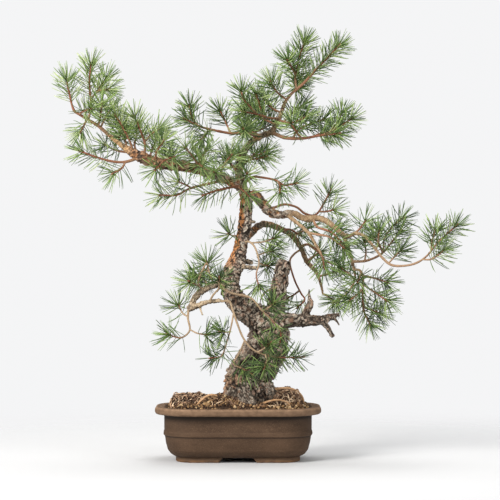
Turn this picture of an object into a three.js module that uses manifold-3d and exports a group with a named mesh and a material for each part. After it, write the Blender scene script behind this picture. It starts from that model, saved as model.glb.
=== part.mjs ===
// A Scots pine bonsai in an unglazed stoneware pot. Millimetres, Z up, the front faces -Y.
// The tree is drawn as smooth limbs and twigs through hand-placed points, fused with manifold-3d,
// and each leafy twig carries three-sided needles that a seeded rule places round it.
import * as THREE from "three";
import { mergeVertices } from "three/addons/utils/BufferGeometryUtils.js";
import Module from "manifold-3d";

const wasm = await Module();
wasm.setup();

// Pot
const POT_LENGTH = 300;
const POT_DEPTH = 196;
const POT_CORNER = 75;
const LEAST_CORNER = 18;
const FLOOR_UNDERSIDE = 9;
const INNER_FLOOR = 18;
const FOOT_OUTER_INSET = 38;
const FOOT_INNER_INSET = 55;
const FOOT_TOP = 12;
const FOOT_GAP = { front: 27, side: 16, taper: 9 };
const DRAIN_RADIUS = 9;
const DRAIN_X = 60;
const SCREEN_SIZE = 34;
const SCREEN_THICKNESS = 1.5;
const SCREEN_SLOT = { width: 2.6, length: 26, spacing: 5.5 };

// Soil
const SOIL_EDGE = 95;
const CLEARANCE = 0.4;

// Foliage
const SEED = 7;
const NEEDLE_LENGTH = 38;
const NEEDLE_RADIUS = 0.7;
const NEEDLE_SPACING = 8.9;
const NEEDLE_ROOT = 2;
const NEEDLE_TRIES = 14;
const TWIG_SIDES = 4;
const TWIG_RADIUS = 2;
const FORK_RADIUS = 1.1;

// The points are given as they look from 3.5 m in front, at this eye: X across, Y the depth behind
// the middle of the pot, Z up. A point that lies deeper stands further out from the eye's axis.
const EYE = { x: 22, z: 380, distance: 3500 };

function spot([x, y, z]) {
  const spread = 1 + y / EYE.distance;
  return new THREE.Vector3(EYE.x + (x - EYE.x) * spread, y, EYE.z + (z - EYE.z) * spread);
}

const randomState = { value: SEED };

function random() {
  randomState.value = (randomState.value + 0x6d2b79f5) | 0;
  let mixed = Math.imul(randomState.value ^ (randomState.value >>> 15), 1 | randomState.value);
  mixed = (mixed + Math.imul(mixed ^ (mixed >>> 7), 61 | mixed)) ^ mixed;
  return ((mixed ^ (mixed >>> 14)) >>> 0) / 4294967296;
}

const between = (low, high) => low + (high - low) * random();

// Geometry helpers

function toSolid(geometry) {
  const bare = geometry.clone();
  bare.deleteAttribute("normal");
  bare.deleteAttribute("uv");
  const merged = mergeVertices(bare, 1e-4);
  const vertProperties = new Float32Array(merged.attributes.position.array);
  const triVerts = new Uint32Array(merged.index.array);
  return new wasm.Manifold(new wasm.Mesh({ numProp: 3, vertProperties, triVerts }));
}

function toGeometry(solid) {
  const mesh = solid.getMesh();
  const geometry = new THREE.BufferGeometry();
  geometry.setAttribute("position", new THREE.BufferAttribute(mesh.vertProperties, 3));
  geometry.setIndex(new THREE.BufferAttribute(mesh.triVerts, 1));
  geometry.computeVertexNormals();
  return geometry;
}

function join(solids) {
  return solids.reduce((whole, next) => whole.add(next));
}

// A closed skin over rings that all have the same number of points, with a flat fan at each end.
function loft(rings) {
  const count = rings[0].length;
  const faces = [];
  for (let row = 0; row < rings.length - 1; row++) {
    for (let i = 0; i < count; i++) {
      const a = row * count + i;
      const b = row * count + ((i + 1) % count);
      faces.push(a, b, b + count, a, b + count, a + count);
    }
  }
  const last = (rings.length - 1) * count;
  for (let i = 1; i < count - 1; i++) faces.push(0, i + 1, i, last, last + i, last + i + 1);
  const geometry = new THREE.BufferGeometry().setFromPoints(rings.flat());
  geometry.setIndex(faces);
  return geometry;
}

function smoothPath(points) {
  return new THREE.CatmullRomCurve3(points.map(spot), false, "catmullrom", 0.5);
}

// Radii are linear between the points of the path.
function radiusAt(radii, t) {
  const place = Math.min(t * (radii.length - 1), radii.length - 1.0001);
  const index = Math.floor(place);
  return THREE.MathUtils.lerp(radii[index], radii[index + 1], place - index);
}

function sidesFor(radius) {
  if (radius > 20) return 14;
  if (radius > 7) return 7;
  return radius > 3 ? 6 : 5;
}

// The rings of a round, tapering limb. relief(angle, height) gives the bark's swell as a share of the
// radius, and grow makes the limb fatter and longer all over, for cutting a hole that it clears.
function limbRings(points, radii, { steps, sides = sidesFor(Math.max(...radii)), relief, grow = 0 }) {
  const path = smoothPath(points);
  const frames = path.computeFrenetFrames(steps, false);
  const rings = [];
  for (let i = 0; i <= steps; i++) {
    const t = i / steps;
    const middle = path.getPoint(t);
    const tangent = path.getTangent(t);
    if (i === 0) middle.addScaledVector(tangent, -grow);
    if (i === steps) middle.addScaledVector(tangent, grow);
    const side = tangent.clone().cross(frames.normals[i]).normalize();
    const up = side.clone().cross(tangent);
    const ring = [];
    for (let k = 0; k < sides; k++) {
      const angle = (2 * Math.PI * k) / sides;
      const swell = relief ? relief(angle, middle.z) : 0;
      const reach = radiusAt(radii, t) * (1 + swell) + grow;
      const rim = middle.clone().addScaledVector(up, Math.cos(angle) * reach);
      ring.push(rim.addScaledVector(side, Math.sin(angle) * reach));
    }
    rings.push(ring);
  }
  return rings;
}

const limbSolid = (points, radii, how) => toSolid(loft(limbRings(points, radii, how)));

// Pot

// Rounded rectangle at a height, drawn in from the rim's outer edge by the inset.
function outline(inset, z, { arc = 4, long = 1, short = 1 } = {}) {
  const corner = Math.max(POT_CORNER - inset, LEAST_CORNER);
  const x = POT_LENGTH / 2 - inset - corner;
  const y = POT_DEPTH / 2 - inset - corner;
  const centres = [[x, y], [-x, y], [-x, -y], [x, -y]];
  const points = [];
  centres.forEach(([cx, cy], quarter) => {
    for (let i = 0; i <= arc; i++) {
      const angle = (Math.PI / 2) * (quarter + i / arc);
      points.push(new THREE.Vector3(cx + corner * Math.cos(angle), cy + corner * Math.sin(angle), z));
    }
    const from = points.at(-1).clone();
    const [nx, ny] = centres[(quarter + 1) % 4];
    const turned = (Math.PI / 2) * (quarter + 1);
    const to = new THREE.Vector3(nx + corner * Math.cos(turned), ny + corner * Math.sin(turned), z);
    const parts = quarter % 2 === 0 ? long : short;
    for (let i = 1; i < parts; i++) points.push(from.clone().lerp(to, i / parts));
  });
  return points;
}

// Outside of the pot from its underside up to the rim: inset and height.
const OUTER_PROFILE = [
  [38, FLOOR_UNDERSIDE], [30, 13], [23.5, 21], [20, 34], [17.8, 46], [15.4, 48.5], [15.8, 55],
  [17.2, 57], [17, 84], [2.5, 85.5], [0, 89], [0.2, 95], [2.5, 98], [17, 98],
];

// Inside of the pot from the rim down to the floor.
const INNER_PROFILE = [
  [21, 94], [26, 78], [29, 55], [33, 32], [46, INNER_FLOOR],
];

function footRing() {
  const shape = new THREE.Shape(outline(FOOT_OUTER_INSET, 0).map((p) => new THREE.Vector2(p.x, p.y)));
  shape.holes.push(new THREE.Path(outline(FOOT_INNER_INSET, 0).map((p) => new THREE.Vector2(p.x, p.y))));
  return toSolid(new THREE.ExtrudeGeometry(shape, { depth: FOOT_TOP, bevelEnabled: false }));
}

// The gap between two feet is wider at the ground than under the floor.
function footGap(half, alongX) {
  const wide = half + FOOT_GAP.taper;
  const shape = new THREE.Shape([
    new THREE.Vector2(-wide, -1),
    new THREE.Vector2(wide, -1),
    new THREE.Vector2(half, FLOOR_UNDERSIDE + 0.6),
    new THREE.Vector2(-half, FLOOR_UNDERSIDE + 0.6),
  ]);
  const prism = new THREE.ExtrudeGeometry(shape, { depth: POT_LENGTH, bevelEnabled: false });
  prism.translate(0, 0, -POT_LENGTH / 2);
  prism.rotateX(Math.PI / 2);
  if (alongX) prism.rotateZ(Math.PI / 2);
  return toSolid(prism);
}

function drainHole(x) {
  const bore = new THREE.CylinderGeometry(DRAIN_RADIUS, DRAIN_RADIUS, 40, 14);
  bore.rotateX(Math.PI / 2);
  bore.translate(x, 0, 10);
  return toSolid(bore);
}

function buildPot() {
  const rings = [...OUTER_PROFILE, ...INNER_PROFILE].map(([inset, z]) => outline(inset, z));
  const feet = footRing()
    .subtract(footGap(FOOT_GAP.front, false))
    .subtract(footGap(FOOT_GAP.side, true));
  return toSolid(loft(rings))
    .add(feet)
    .subtract(drainHole(-DRAIN_X))
    .subtract(drainHole(DRAIN_X));
}

function buildScreen(x) {
  const plate = new THREE.BoxGeometry(SCREEN_SIZE, SCREEN_SIZE, SCREEN_THICKNESS);
  plate.translate(x, 0, INNER_FLOOR + 0.3 + SCREEN_THICKNESS / 2);
  let screen = toSolid(plate);
  for (const row of [-2, -1, 0, 1, 2]) {
    const slot = new THREE.BoxGeometry(SCREEN_SLOT.length, SCREEN_SLOT.width, 10);
    slot.translate(x, row * SCREEN_SLOT.spacing, INNER_FLOOR);
    screen = screen.subtract(toSolid(slot));
  }
  return screen;
}

// Soil

// A bump with a flat top and soft edges, from one value to another.
function plateau(value, low, high, edge) {
  const rise = THREE.MathUtils.smoothstep(value, low - edge, low + edge);
  const fall = THREE.MathUtils.smoothstep(value, high - edge, high + edge);
  return rise * (1 - fall);
}

// Height of the ground: a mound round the trunk, a mat of old roots on each side, and clods.
function soilHeight(x, y) {
  const mound = 19 * Math.exp(-(((x + 6) / 76) ** 2) - ((y - 8) / 52) ** 2);
  const leftMat = 13 * plateau(x, -122, -62, 8) * plateau(y, -36, 46, 13);
  const rightMat = 22 * plateau(x, 62, 113, 5) * plateau(y, -40, 40, 13);
  const clods = 0.9 * Math.sin(x / 5.3 + y / 9.1) + 0.9 * Math.sin(y / 4.7 - x / 8.3);
  return 98 + Math.max(mound, leftMat, rightMat) + 0.35 * Math.min(mound, leftMat + rightMat) + clods;
}

function buildSoil(woodHole) {
  const spread = { arc: 4, long: 7, short: 2 };
  const walls = INNER_PROFILE.slice(1).reverse().map(([inset, z]) => outline(inset + 0.7, z + 0.35, spread));
  const edge = outline(22.2, SOIL_EDGE, spread);
  const ground = [0.9, 0.74, 0.56, 0.32].map((share) =>
    edge.map((p) => new THREE.Vector3(p.x * share, p.y * share, soilHeight(p.x * share, p.y * share))),
  );
  let soil = toSolid(loft([...walls, edge, ...ground])).subtract(woodHole);
  for (const x of [-DRAIN_X, DRAIN_X]) {
    const seat = new THREE.BoxGeometry(SCREEN_SIZE + 0.8, SCREEN_SIZE + 0.8, 2 * SCREEN_THICKNESS);
    seat.translate(x, 0, INNER_FLOOR + 0.6);
    soil = soil.subtract(toSolid(seat));
  }
  return largest(soil);
}

function largest(solid) {
  return solid.decompose().reduce((best, part) => (part.volume() > best.volume() ? part : best));
}

// Wood: every limb is a list of points [x, depth, z, radius].

const TRUNK = [
  [21, 0, 86, 40], [20, 0, 104, 46], [20, 0, 120, 45], [17, 0, 140, 40],
  [24, 0, 160, 38], [39, 0, 180, 37], [50, 0, 200, 37.5], [54, 0, 220, 35.5], [56, -1, 238, 33.5],
  [46, -3, 251, 29.5], [27, -5, 262, 23.5], [6, -8, 278, 20], [-9, -10, 297, 18.5], [-15, -9, 318, 17],
  [-12, -8, 338, 16.5], [-3, -5, 358, 15.5], [4, -2, 382, 12.8], [8, 0, 405, 12.2], [13, 3, 435, 11.5],
  [15, 6, 465, 12], [15, 8, 484, 11.5],
];

const DEAD_WOOD = [
  [[64, 0, 240, 18], [67, 3, 264, 17.5], [71, 6, 290, 15.5], [76, 10, 320, 14], [81, 12, 345, 12.8],
    [85, 13, 361, 10.5]],
  [[66, -4, 248, 16], [86, -6, 252, 14.5], [105, -7, 252, 12.5], [130, -8, 252, 10.2], [150, -9, 253, 9],
    [166, -10, 258, 6.2], [184, -12, 263, 3.4]],
  [[117, -8, 254, 8], [125, -6, 270, 7], [131, -4, 283, 6.5], [129, -2, 296, 3], [129, 0, 309, 1.4]],
  [[150, -10, 253, 6], [160, -13, 243, 5], [173, -17, 222, 4.2]],
  [[164, -11, 259, 3.6], [177, -15, 253, 2.6], [184, -17, 243, 1.5]],
  [[-8, -8, 353, 5], [15, -16, 349, 4.2], [34, -20, 347, 4]],
  [[-4, 0, 361, 6], [14, 8, 359, 5], [27, 10, 357, 4]],
  [[12, 3, 432, 3.6], [32, -2, 431, 3]],
  [[72, 4, 313, 2], [52, -6, 306, 1.8], [42, -12, 294, 1.6], [40, -15, 279, 1.4]],
];

const BRANCHES = {
  right: [[14, 10, 478, 10], [32, 3, 478, 9.5], [44, -6, 465, 9], [60, -14, 448, 8.5], [80, -17, 444, 6.8],
    [100, -20, 447, 6.2], [122, -20, 437, 6], [146, -23, 438, 5.8], [166, -29, 429, 5.2],
    [194, -38, 406, 4.2],
    [214, -45, 410, 3.4], [230, -52, 405, 3.1], [246, -58, 386, 2.8]],
  rightHanging: [[192, -38, 408, 3.8], [199, -29, 388, 3.4], [208, -14, 357, 3], [213, -4, 330, 2.4]],
  rightInner: [[90, -20, 443, 4], [104, -41, 432, 3.6], [127, -55, 412, 3.2], [141, -61, 390, 2.8],
    [149, -64, 377, 2.5]],
  rightBehind: [[8, 0, 396, 7.5], [22, 29, 410, 6.8], [44, 52, 427, 6], [72, 70, 421, 5.6],
    [98, 81, 406, 5.4],
    [114, 87, 384, 5], [125, 87, 359, 4.4], [142, 84, 340, 3.8], [151, 78, 315, 2.8], [154, 75, 299, 2]],
  crown: [[14, 10, 474, 9.5], [8, 17, 495, 8.6], [2, 23, 515, 8], [2, 29, 535, 7.6], [10, 32, 558, 7],
    [26, 29, 578, 6.4], [44, 20, 588, 5.8], [60, 12, 595, 5.2], [74, 9, 617, 4.2], [85, 9, 650, 3.2]],
  left: [[14, 9, 484, 9.5], [-8, -3, 502, 8.5], [-48, -20, 518, 8.2], [-92, -35, 531, 8], [-142, -46, 537, 8],
    [-160, -51, 543, 8.2], [-176, -55, 549, 8.4], [-190, -57, 556, 6.6], [-203, -58, 564, 5],
    [-218, -59, 575, 4], [-236, -61, 590, 3.4]],
  lowLeft: [[-14, -14, 316, 8.5], [-28, -20, 319, 7.2], [-44, -32, 317, 6.6], [-56, -39, 312, 6.2],
    [-68, -46, 304, 5.8], [-78, -52, 294, 5.6], [-84, -57, 283, 5.4], [-90, -58, 272, 5.6]],
  lowLeftReturn: [[-90, -58, 272, 5.2], [-66, -64, 282, 4.6], [-42, -67, 288, 3.8], [-28, -68, 287, 3]],
  lowLeftStub: [[-68, -62, 281, 2.4], [-68, -65, 272, 2], [-64, -68, 261, 1.6]],
};

const ROOTS = [
  [[12, -20, 130, 23], [15, -42, 106, 17], [19, -54, 88, 9]],
  [[46, -14, 130, 17], [68, -30, 106, 10], [80, -40, 88, 6]],
  [[44, 14, 129, 18], [70, 24, 108, 10], [86, 30, 88, 6]],
  [[12, 24, 130, 20], [10, 46, 108, 11], [10, 56, 88, 6]],
  [[-4, 8, 124, 16], [-24, 22, 104, 10], [-40, 34, 86, 6]],
  [[-2, -18, 128, 15], [-16, -36, 106, 10], [-26, -46, 88, 6]],
];

// Thin orange roots that lie over the soil and dive back into it.
const SURFACE_ROOTS = [
  [[26, -46, 94, 3], [46, -56, 102, 2.6], [68, -58, 108, 2.5], [88, -56, 104, 2.2], [99, -54, 90, 2]],
  [[48, -6, 122, 3.4], [78, -16, 129, 2.8], [100, -18, 127, 2.5], [116, -19, 114, 2.3], [121, -19, 90, 2]],
  [[-16, -34, 106, 3], [-46, -45, 117, 2.6], [-64, -49, 110, 2.3], [-80, -50, 92, 2]],
];

// Plates and flutes of the old bark, as a share of the radius.
function bark(angle, height) {
  const flutes = 0.05 * Math.sin(3 * angle + height / 21) + 0.035 * Math.sin(5 * angle - height / 13);
  const plates = 0.05 * Math.sin(9 * angle + 3 * Math.sin(height / 11)) * Math.sin(height / 5.5);
  const fade = THREE.MathUtils.smoothstep(height, 290, 400);
  return (flutes + plates) * (1 - 0.7 * fade);
}

const rough = (angle, height) => 0.09 * Math.sin(3 * angle + height / 6) * Math.sin(height / 7 + angle);

const places = (limb) => limb.map(([x, y, z]) => [x, y, z]);
const radiiOf = (limb) => limb.map((point) => point[3]);

function woodLimbs() {
  return [
    { limb: TRUNK, steps: 22, relief: bark },
    ...DEAD_WOOD.map((limb) => ({ limb, steps: limb.length - 1, relief: rough })),
    ...Object.values(BRANCHES).map((limb) => ({ limb, steps: limb.length - 1 })),
    ...ROOTS.map((limb) => ({ limb, steps: limb.length - 1, relief: rough, sides: 6 })),
    ...SURFACE_ROOTS.map((limb) => ({ limb, steps: limb.length - 1, sides: 4 })),
  ];
}

function buildWood(grow) {
  const limbs = woodLimbs();
  return join(limbs.map(({ limb, ...how }) => limbSolid(places(limb), radiiOf(limb), { ...how, grow })));
}

// Sprays: each is one leafy branch. A twig is [points, radius at its start, leafy from], the last
// being the share of its length where needles begin. The first twig of a
// spray starts inside the wood, where it is cut clear, and the others start inside that spray.

const SPRAYS = {
  crown_top: [
    [[[84, 9, 647], [97, 7, 664], [120, 6, 684], [150, 0, 717], [184, -9, 752]], 3, 0.42],
    [[[106, 7, 673], [104, 17, 690], [107, 29, 710], [113, 38, 736], [121, 44, 758]], 2.2, 0.15],
    [[[105, 20, 697], [98, 9, 710], [90, -3, 724]], 1.8, 0.2],
    [[[88, 9, 653], [76, -9, 662], [68, -17, 670], [60, -26, 684]], 2, 0.3],
    [[[98, 7, 665], [106, 44, 672], [114, 78, 686]], 2, 0.35],
  ],
  crown_left_behind: [[[[78, 9, 630], [68, 29, 634], [58, 49, 641], [46, 64, 654]], 2.2, 0.35]],
  crown_inner: [
    [[[74, 9, 619], [58, -14, 620], [36, -29, 626], [8, -41, 632]], 2.4, 0.4],
    [[[34, -29, 627], [20, -38, 642], [9, -44, 656], [6, -46, 668]], 1.9, 0.3],
  ],
  crown_inner_behind: [
    [[[69, 12, 608], [60, 35, 612], [44, 58, 620], [22, 75, 640]], 2.4, 0.4],
    [[[48, 54, 618], [40, 41, 640], [33, 32, 662]], 1.9, 0.3],
  ],
  crown_right: [
    [[[60, 12, 594], [86, -6, 584], [118, -20, 583], [148, -32, 588], [182, -44, 592]], 3.8, 0.72],
    [[[156, -35, 590], [178, -29, 600], [204, -23, 618]], 2, 0.3],
    [[[168, -33, 595], [178, -16, 608], [188, -6, 628]], 1.9, 0.3],
    [[[134, -27, 585], [150, -14, 592], [166, 2, 594]], 1.9, 0.35],
    [[[100, -13, 584], [108, 6, 597], [128, 20, 608], [157, 32, 617]], 2.2, 0.4],
    [[[116, -20, 583], [106, -38, 594], [96, -49, 610]], 1.9, 0.3],
  ],
  crown_right_upper: [
    [[[74, 9, 616], [92, -9, 611], [104, -17, 613], [122, -26, 621]], 2.2, 0.4],
    [[[82, 0, 612], [92, 17, 622], [102, 35, 632], [117, 49, 642]], 2, 0.35],
  ],
  crown_left: [
    [[[44, 20, 588], [5, 14, 592], [-20, 9, 593], [-68, -3, 604], [-96, -14, 618]], 3.4, 0.74],
    [[[-74, -4, 606], [-84, 6, 622], [-88, 12, 641]], 2, 0.25],
    [[[-14, 10, 593], [-22, 20, 611], [-32, 29, 632]], 2, 0.3],
    [[[-48, 3, 599], [-58, -14, 592], [-66, -26, 582]], 2, 0.2],
    [[[16, 16, 591], [14, -17, 593], [10, -46, 600]], 2.2, 0.4],
  ],
  crown_behind: [
    [[[30, 26, 580], [27, 61, 592], [20, 99, 612]], 2.6, 0.45],
    [[[27, 61, 592], [44, 87, 600], [62, 104, 610]], 1.9, 0.4],
  ],
  left_end: [
    [[[-235, -61, 589], [-256, -62, 607], [-286, -67, 625], [-299, -68, 636], [-308, -67, 672],
      [-311, -64, 690]], 3.2, 0.68],
    [[[-272, -64, 618], [-267, -52, 642], [-270, -44, 682], [-267, -38, 717]], 2.4, 0.42],
    [[[-268, -49, 654], [-256, -38, 668], [-240, -29, 692]], 1.8, 0.3],
    [[[-258, -40, 665], [-250, -56, 670], [-236, -70, 672]], 1.8, 0.3],
    [[[-288, -67, 626], [-281, -87, 632], [-268, -104, 636]], 1.9, 0.3],
    [[[-274, -65, 619], [-280, -55, 606], [-286, -49, 594]], 1.9, 0.3],
    [[[-254, -62, 605], [-250, -81, 622], [-248, -96, 644]], 2, 0.3],
    [[[-250, -62, 602], [-242, -44, 618], [-232, -26, 634]], 2, 0.3],
  ],
  left_lower: [
    [[[-178, -55, 549], [-206, -72, 540], [-238, -84, 543], [-286, -93, 559]], 3, 0.55],
    [[[-204, -71, 541], [-212, -78, 528], [-226, -84, 520]], 2, 0.2],
  ],
  left_middle: [[[[-192, -57, 557], [-212, -38, 559], [-228, -26, 564], [-242, -14, 571]], 2.4, 0.4]],
  left_shoot_a: [[[[-203, -58, 564], [-204, -38, 576], [-212, -17, 600]], 2.2, 0.35]],
  left_shoot_b: [[[[-190, -57, 556], [-196, -72, 576], [-208, -84, 600], [-221, -90, 623]], 2.4, 0.4]],
  left_shoot_c: [[[[-183, -55, 552], [-188, -41, 572], [-184, -26, 588], [-186, -17, 600]], 2.2, 0.4]],
  left_shoot_d: [
    [[[-172, -55, 547], [-169, -64, 570], [-177, -70, 596], [-188, -72, 622]], 2.4, 0.4],
    [[[-170, -65, 576], [-158, -58, 590], [-143, -52, 600]], 1.8, 0.3],
  ],
  left_shoot_e: [[[[-162, -51, 544], [-156, -32, 563], [-147, -14, 584]], 2.2, 0.35]],
  left_shoot_f: [[[[-150, -48, 539], [-148, -67, 558], [-136, -81, 577]], 2.2, 0.35]],
  left_under: [
    [[[-140, -46, 537], [-134, -67, 543], [-118, -81, 549]], 2.2, 0.35],
    [[[-135, -62, 541], [-142, -78, 534], [-150, -93, 526]], 1.9, 0.3],
  ],
  left_behind_a: [[[[-118, -41, 534], [-122, 6, 541], [-130, 49, 554]], 2.4, 0.4]],
  left_behind_b: [[[[-216, -59, 573], [-216, -17, 582], [-210, 29, 596]], 2.2, 0.4]],
  left_behind_c: [[[[-56, -23, 520], [-64, 17, 534], [-74, 58, 552]], 2.4, 0.4]],
  left_near: [
    [[[-70, -28, 525], [-78, -46, 544], [-96, -61, 566]], 2.4, 0.4],
    [[[-74, -38, 535], [-66, -44, 548], [-58, -46, 562]], 1.9, 0.3],
    [[[-73, -38, 534], [-70, -66, 536], [-66, -92, 532]], 1.9, 0.35],
  ],
  inner_left_front: [
    [[[8, 14, 494], [0, -23, 496], [-18, -38, 493], [-40, -46, 488], [-62, -55, 480]], 3, 0.45],
    [[[-1, -23, 496], [8, -41, 489], [18, -52, 480]], 2, 0.3],
  ],
  inner_left_low: [
    [[[-22, -9, 508], [-44, -26, 503], [-87, -46, 492], [-112, -54, 480], [-142, -60, 480]], 2.8, 0.6],
    [[[-84, -45, 492], [-94, -58, 498], [-108, -70, 504]], 1.9, 0.3],
  ],
  inner_right: [
    [[[7, 17, 497], [25, -3, 512], [42, -12, 512], [68, -20, 507], [84, -26, 498], [104, -35, 501]],
      2.6, 0.6],
    [[[72, -22, 505], [76, -32, 496], [76, -44, 486]], 1.8, 0.3],
  ],
  centre_shoot_a: [
    [[[-34, -14, 513], [-26, -38, 534], [-12, -55, 552]], 2.4, 0.35],
    [[[-30, -30, 526], [-38, -58, 526], [-44, -84, 522]], 1.9, 0.3],
  ],
  centre_shoot_b: [
    [[[2, 26, 526], [12, 32, 538], [18, 20, 543], [28, 9, 553]], 2.4, 0.4],
    [[[13, 31, 539], [6, 0, 546], [2, -32, 556]], 1.9, 0.4],
    [[[19, 18, 544], [34, 4, 546], [50, -12, 550]], 1.8, 0.3],
  ],
  centre_shoot_c: [[[[4, 20, 508], [14, -20, 512], [16, -55, 520]], 2.4, 0.45]],
  centre_behind_a: [[[[2, 25, 520], [-10, 67, 532], [-22, 104, 550]], 2.6, 0.4]],
  centre_behind_b: [[[[6, 30, 548], [30, 70, 550], [52, 102, 560]], 2.6, 0.45]],
  right_thin: [
    [[[50, -9, 458], [64, 9, 457], [84, 20, 463], [106, 23, 458], [122, 20, 446], [140, 14, 444],
      [153, 12, 460], [167, 9, 487]], 2.6, 0.8],
    [[[147, 13, 450], [160, 3, 450], [173, -6, 453]], 1.8, 0.3],
  ],
  right_low_front: [
    [[[148, -64, 379], [154, -72, 364], [156, -78, 350]], 2.2, 0.25],
  ],
  right_low: [[[[128, -55, 411], [146, -70, 408], [168, -81, 403], [194, -90, 382]], 2.6, 0.5]],
  right_middle: [[[[136, -22, 437], [144, -41, 422], [170, -58, 412], [192, -67, 390]], 2.6, 0.55]],
  right_upper: [
    [[[212, -45, 410], [221, -35, 419], [231, -23, 433]], 2.2, 0.35],
  ],
  right_far: [
    [[[245, -58, 388], [263, -67, 365], [282, -72, 352], [316, -75, 354], [341, -75, 368], [364, -74, 395],
      [397, -70, 425]], 2.8, 0.66],
    [[[334, -75, 363], [352, -87, 364], [373, -96, 379]], 1.9, 0.35],
    [[[350, -74, 379], [352, -60, 396], [358, -48, 416]], 1.9, 0.3],
    [[[274, -71, 357], [284, -58, 368], [296, -46, 380]], 1.9, 0.3],
    [[[251, -61, 380], [254, -78, 396], [256, -90, 414]], 1.9, 0.35],
  ],
  right_hanging_upper: [
    [[[207, -16, 359], [234, -6, 361], [260, 6, 373], [276, 12, 391], [294, 17, 414]], 2.8, 0.55],
    [[[264, 7, 377], [266, 26, 402], [280, 38, 422], [298, 46, 437]], 2, 0.4],
    [[[262, 6, 375], [256, -9, 392], [246, -17, 405]], 1.8, 0.35],
    [[[230, -7, 361], [232, 12, 376], [230, 26, 396]], 1.9, 0.35],
  ],
  right_hanging_lower: [
    [[[210, -10, 345], [222, -17, 342], [227, -23, 325], [226, -26, 296], [229, -29, 268],
      [240, -32, 245]], 2.6, 0.42],
    [[[226, -25, 310], [217, -38, 300], [204, -49, 290]], 1.9, 0.3],
    [[[225, -20, 334], [244, -6, 330], [270, 9, 322]], 2, 0.4],
    [[[226, -24, 318], [244, -40, 306], [270, -56, 288]], 1.9, 0.35],
    [[[224, -18, 340], [221, -42, 332], [217, -66, 322]], 1.8, 0.35],
    [[[228, -28, 276], [240, -14, 272], [256, 2, 266]], 1.7, 0.3],
  ],
  right_hanging_end: [
    [[[213, -4, 331], [208, 6, 316], [196, 14, 300], [176, 20, 287]], 2.2, 0.25],
    [[[211, -1, 326], [203, 17, 336], [187, 29, 348]], 1.9, 0.35],
  ],
  right_behind_a: [[[[168, -29, 427], [174, 6, 424], [182, 41, 416]], 2.4, 0.4]],
  behind_a: [[[[113, 87, 386], [128, 78, 390], [147, 70, 376], [160, 64, 360], [181, 58, 352]], 2.8, 0.5]],
  behind_b: [
    [[[115, 87, 382], [101, 75, 372], [94, 64, 358], [102, 52, 327], [114, 44, 302], [121, 38, 290],
      [109, 32, 277]], 2, 0.84],
    [[[112, 45, 307], [100, 49, 298], [90, 52, 293]], 1.6, 0.35],
  ],
  behind_c: [
    [[[146, 81, 332], [160, 90, 336], [182, 99, 342]], 2.2, 0.35],
  ],
  behind_d: [
    [[[154, 75, 301], [163, 67, 296], [180, 58, 284]], 2, 0.3],
  ],
  behind_e: [[[[80, 72, 417], [96, 52, 417], [110, 38, 408]], 2.2, 0.4]],
  behind_f: [[[[98, 81, 406], [112, 116, 412], [132, 142, 421]], 2.6, 0.45]],
  behind_g: [[[[124, 87, 361], [134, 122, 366], [148, 151, 377]], 2.6, 0.45]],
  trunk_left: [[[[4, 0, 408], [-8, -6, 406], [-17, -10, 409]], 1.9, 0.35]],
  trunk_right: [
    [[[6, -3, 393], [20, -17, 395], [31, -23, 384], [38, -29, 358], [33, -35, 335], [39, -41, 311]],
      2.3, 0.84],
    [[[24, -20, 393], [46, -9, 395], [66, 8, 402]], 1.9, 0.45],
    [[[35, -26, 370], [48, 2, 375], [63, 30, 379]], 1.8, 0.4],
    [[[38, -29, 356], [46, 4, 353], [56, 34, 351]], 1.8, 0.45],
  ],
  low_left_shoot: [
    [[[-42, -30, 317], [-50, -17, 332], [-57, -6, 358]], 2.2, 0.4],
    [[[-52, -14, 339], [-62, -23, 343], [-76, -35, 332]], 1.8, 0.35],
  ],
  low_left_side: [[[[-62, -44, 308], [-74, -58, 316], [-88, -70, 323]], 2, 0.35]],
  low_left_down: [
    [[[-90, -58, 273], [-91, -67, 256], [-88, -72, 234], [-104, -78, 221], [-128, -84, 227]], 2.6, 0.62],
    [[[-88, -72, 236], [-74, -81, 229], [-56, -87, 226]], 1.9, 0.45],
    [[[-91, -65, 259], [-101, -52, 266], [-108, -44, 280]], 1.8, 0.35],
  ],
  low_left_behind: [[[[-50, -36, 315], [-58, 6, 321], [-66, 46, 331]], 2.2, 0.45]],
  front_over: [
    [[[-52, -65, 286], [-44, -78, 300], [-30, -84, 311], [-10, -87, 302], [22, -87, 294], [43, -87, 271],
      [63, -86, 251], [77, -84, 233], [76, -83, 211]], 2.2, 0.9],
    [[[-36, -83, 308], [-34, -93, 318], [-34, -102, 330]], 1.6, 0.35],
    [[[44, -87, 270], [56, -96, 276], [66, -102, 284]], 1.6, 0.35],
  ],
  front_long: [
    [[[-30, -68, 287], [-16, -72, 287], [-10, -75, 272], [-2, -81, 248], [9, -87, 221], [24, -90, 202],
      [45, -90, 191], [75, -88, 185], [116, -84, 186]], 2.6, 0.72],
    [[[-8, -77, 266], [-13, -84, 240], [-20, -90, 215], [-30, -93, 188], [-50, -93, 184]], 1.9, 0.78],
    [[[-14, -86, 232], [-22, -96, 231], [-32, -102, 232]], 1.6, 0.35],
    [[[12, -88, 216], [2, -90, 193], [-8, -88, 174], [8, -90, 165], [26, -93, 155]], 1.8, 0.66],
    [[[36, -90, 195], [48, -99, 202], [58, -102, 212]], 1.6, 0.35],
    [[[50, -90, 190], [52, -102, 179], [47, -110, 166]], 1.6, 0.35],
  ],
};

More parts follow.
